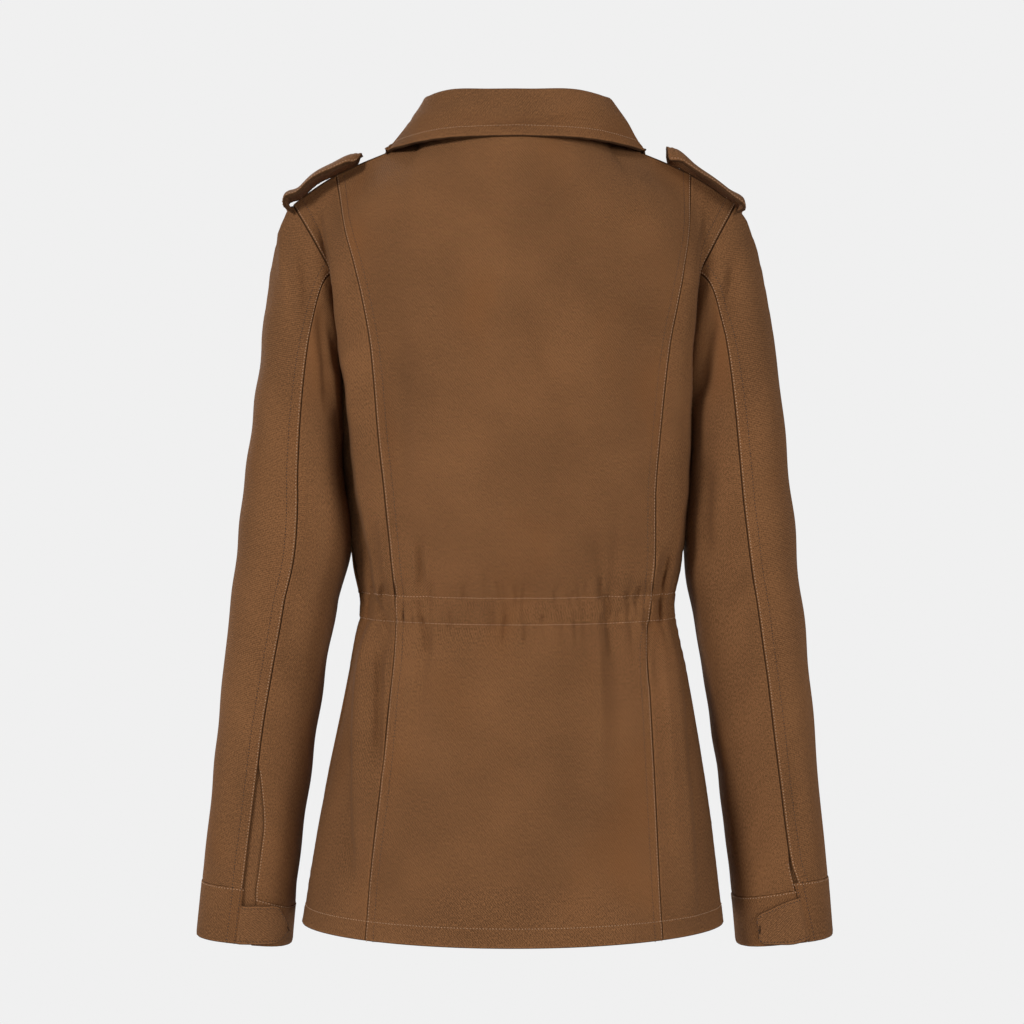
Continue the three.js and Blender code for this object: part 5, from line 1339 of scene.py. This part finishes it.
for wide, high, *line in (
    (2.2, -0.6, (80, 60), (86, 68), (91, 76)), (2.2, -0.5, (86, 54), (92, 62)), (2.4, 0.5, (76, 62), (83, 70)),
    (9, -0.8, (40, 60), (20, 72), (-10, 76)),
):
    relief += crease_lift([(wide, high, *line)], leaf[..., 0], leaf[..., 2]) * (leaf[..., 1] > -20)
leaf_outer = leaf + way * relief[..., None]
way = way_out(leaf_outer, 1)
laid_out(cloth("collar_fall", leaf_outer, way, LEAF, seam, cloth_finish), leaf_outer,
         ["collar_fall"])
thread = leaf_outer + way * 0.12
row = np.argmin(np.abs(climb - COLLAR_STITCH), axis=0)
stitch_paths["collar_stitches"] += [np.array([
    [np.interp(COLLAR_STITCH, climb[::-1, i], thread[::-1, i, axis]) for axis in range(3)]
    for i in range(4, thread.shape[1] - 4)])]


# Epaulettes
# Pointed shoulder straps of doubled twill, sewn in with the sleeve at the armhole. They stand off the
# shoulder and run in towards the collar to a free point, stitched near their edge.
EPAULETTE = table("w x left right half droop", [
    (0, 189.5, -1.5, -2.5, 14, 5),
    (0.1, 194.5, 3.5, 1, 20, 5.5),
    (0.2, 191.5, 10.5, 7, 22, 5.5),
    (0.4, 179, 18.5, 15, 22.5, 5.5),
    (0.6, 165.5, 28.5, 24.5, 22.5, 6),
    (0.8, 152, 35.5, 34, 22, 7),
    (0.92, 139, 42, 45.5, 20, 8),
    (1.0, 128, 44, 49.5, 3, 0.5),
])
STRAP_TIPS = {
    1: table("w half droop", [(0.8, 22, 7), (0.92, 21, 8), (0.96, 18.5, 9), (0.985, 12, 6), (1, 4, 1)]),
    -1: table("w half droop", [(0.8, 22, 7), (0.9, 21.5, 10), (0.97, 20, 13), (0.99, 17.5, 13.5), (1, 12, 8)]),
}
EPAULETTE_SEWN, EPAULETTE_FOOT, EPAULETTE_RISE = 0.023, 0.05, 0.2
strap_marks = np.concatenate([np.linspace(0, 0.88, 62)[:-1], np.linspace(0.88, 0.96, 12)[:-1], np.linspace(0.96, 1, 10)])
strap_across = np.concatenate([[-1, -0.985, -0.97, -0.95, -0.92], np.linspace(-0.88, 0.88, 22), [0.92, 0.95, 0.97, 0.985, 1]])
for side, hand in ((1, "left"), (-1, "right")):
    a, w = np.meshgrid(strap_across, strap_marks)
    read = lambda name: reading(EPAULETTE, name, w)
    half, droop = (np.where(w > 0.8, reading(STRAP_TIPS[side], name, w), read(name)) for name in ("half", "droop"))
    sag = (2.6 if side > 0 else 0.8) * np.exp(-(((w - 0.36) / 0.1) ** 2))
    droop = droop + (2.5 if side < 0 else 0) * np.exp(-(((w - 0.2) / 0.15) ** 2))
    strap = np.stack([side * read("x"), a * half, read(hand) - sag - droop * a * a], -1)
    seam_at = a[0] * EPAULETTE_SEWN
    foot_t = np.full_like(seam_at, EPAULETTE_FOOT)
    foot = sleeve(side, seam_at, foot_t)
    foot += outward(lambda p, t: sleeve(side, p, t), seam_at, foot_t, -side) * (DOUBLED + 0.6)
    free = 1 - (1 - np.clip(w / EPAULETTE_RISE, 0, 1)[..., None]) ** 2
    strap = foot * (1 - free) + strap * free
    way = way_out(strap, side)
    edge = np.minimum((1 - np.abs(a)) * half, (1 - w) * 106)
    relief = -0.6 * np.exp(-((edge / 0.8) ** 2)) - 0.25 * np.exp(-(((edge - 2.2) / 0.7) ** 2))
    relief += 0.18 * np.sin(w * 150 + 2 * np.sin(w * 40)) * np.exp(-(((edge - 2) / 4) ** 2))
    outer = strap + way * relief[..., None]
    way = way_out(outer, side)
    laid_out(cloth(f"epaulette_{hand}", outer, way, 2.2, edge, trim_finish), outer,
             [f"epaulette_{hand}"])
    thread = outer + way * 0.12
    stitch_paths["collar_stitches"] += [thread[5:-6, 4], thread[5:-6, -5]]


# Topstitching
# Rows of lockstitch in a slightly lighter thread: each stitch is a short plump length of thread lying
# in its furrow, with a small gap before the next. Rows sunk deep in a furrow take the same thread
# painted almost black, as painted shade.
def stitch_tree():
    """Lays stitches along the lines of a piece: their length, spacing and thread are its inputs."""
    tree = bpy.data.node_groups.new("rows_of_stitches", "GeometryNodeTree")
    tree.interface.new_socket("Lines", in_out="INPUT", socket_type="NodeSocketGeometry")
    sockets = {}
    for name, value in (("Stitch length", 0.0014), ("Stitch spacing", 0.0026), ("Thread radius", 0.00040)):
        sockets[name] = tree.interface.new_socket(name, in_out="INPUT", socket_type="NodeSocketFloat")
        sockets[name].default_value = value
    finish = tree.interface.new_socket("Thread finish", in_out="INPUT", socket_type="NodeSocketMaterial")
    tree.interface.new_socket("Stitches", in_out="OUTPUT", socket_type="NodeSocketGeometry")

    def made(kind, settings, sockets):
        node = tree.nodes.new(kind)
        for name, value in settings.items():
            setattr(node, name, value)
        for name, value in sockets.items():
            if isinstance(value, bpy.types.NodeSocket):
                tree.links.new(value, node.inputs[name])
            else:
                node.inputs[name].default_value = value
        return node.outputs

    given = made("NodeGroupInput", {}, {})
    lines = made("GeometryNodeMeshToCurve", {}, {"Mesh": given["Lines"]})["Curve"]
    dots = made("GeometryNodeResampleCurve", {"mode": "LENGTH"},
                {"Curve": lines, "Length": given["Stitch spacing"]})["Curve"]
    along = made("GeometryNodeInputTangent", {}, {})["Tangent"]
    wobble = made("FunctionNodeRandomValue", {"data_type": "FLOAT_VECTOR"},
                  {"Min": (-0.09, -0.09, -0.09), "Max": (0.09, 0.09, 0.09), "Seed": 7})["Value"]
    slack = made("ShaderNodeVectorMath", {"operation": "ADD"}, {0: along, 1: wobble})["Vector"]
    turn = made("FunctionNodeAlignRotationToVector", {"axis": "X"}, {"Vector": slack})["Rotation"]
    half = made("ShaderNodeMath", {"operation": "MULTIPLY"}, {0: given["Stitch length"], 1: 0.5})["Value"]
    size = made("ShaderNodeCombineXYZ", {}, {
        "X": half, "Y": given["Thread radius"], "Z": given["Thread radius"]})["Vector"]
    bead = made("GeometryNodeMeshUVSphere", {}, {"Segments": 4, "Rings": 3, "Radius": 1.0})["Mesh"]
    lying = made("GeometryNodeTransform", {}, {"Geometry": bead, "Rotation": (0, math.radians(90), 0)})["Geometry"]
    placed = made("GeometryNodeInstanceOnPoints", {}, {
        "Points": dots, "Instance": lying, "Rotation": turn, "Scale": size})["Instances"]
    real = made("GeometryNodeRealizeInstances", {}, {"Geometry": placed})["Geometry"]
    dyed = made("GeometryNodeSetMaterial", {}, {"Geometry": real, "Material": given["Thread finish"]})["Geometry"]
    made("NodeGroupOutput", {}, {"Stitches": dyed})
    return tree, {**{name: socket.identifier for name, socket in sockets.items()}, "Thread finish": finish.identifier}


stitches, stitch_inputs = stitch_tree()
for name, paths in stitch_paths.items():
    places, edges = [], []
    for path in paths:
        first = len(places)
        places += (np.asarray(path) * MM).tolist()
        edges += [(i, i + 1) for i in range(first, len(places) - 1)]
    lines = bpy.data.meshes.new(name + "_lines")
    lines.from_pydata(places, edges, [])
    guide = bpy.data.objects.new(name + "_lines", lines)
    scene.collection.objects.link(guide)
    sewing = guide.modifiers.new("sewing", "NODES")
    sewing.node_group = stitches
    # Rows sunk in a furrow get the thread painted dark, as painted shade.
    sewing[stitch_inputs["Thread finish"]] = thread_finishes["sunken" in name]
    sewn = bpy.data.meshes.new_from_object(guide.evaluated_get(bpy.context.evaluated_depsgraph_get()))
    bpy.data.objects.remove(guide)
    piece = bpy.data.objects.new(name, sewn)
    scene.collection.objects.link(piece)
    sewn.shade_smooth()
    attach(piece, "root")
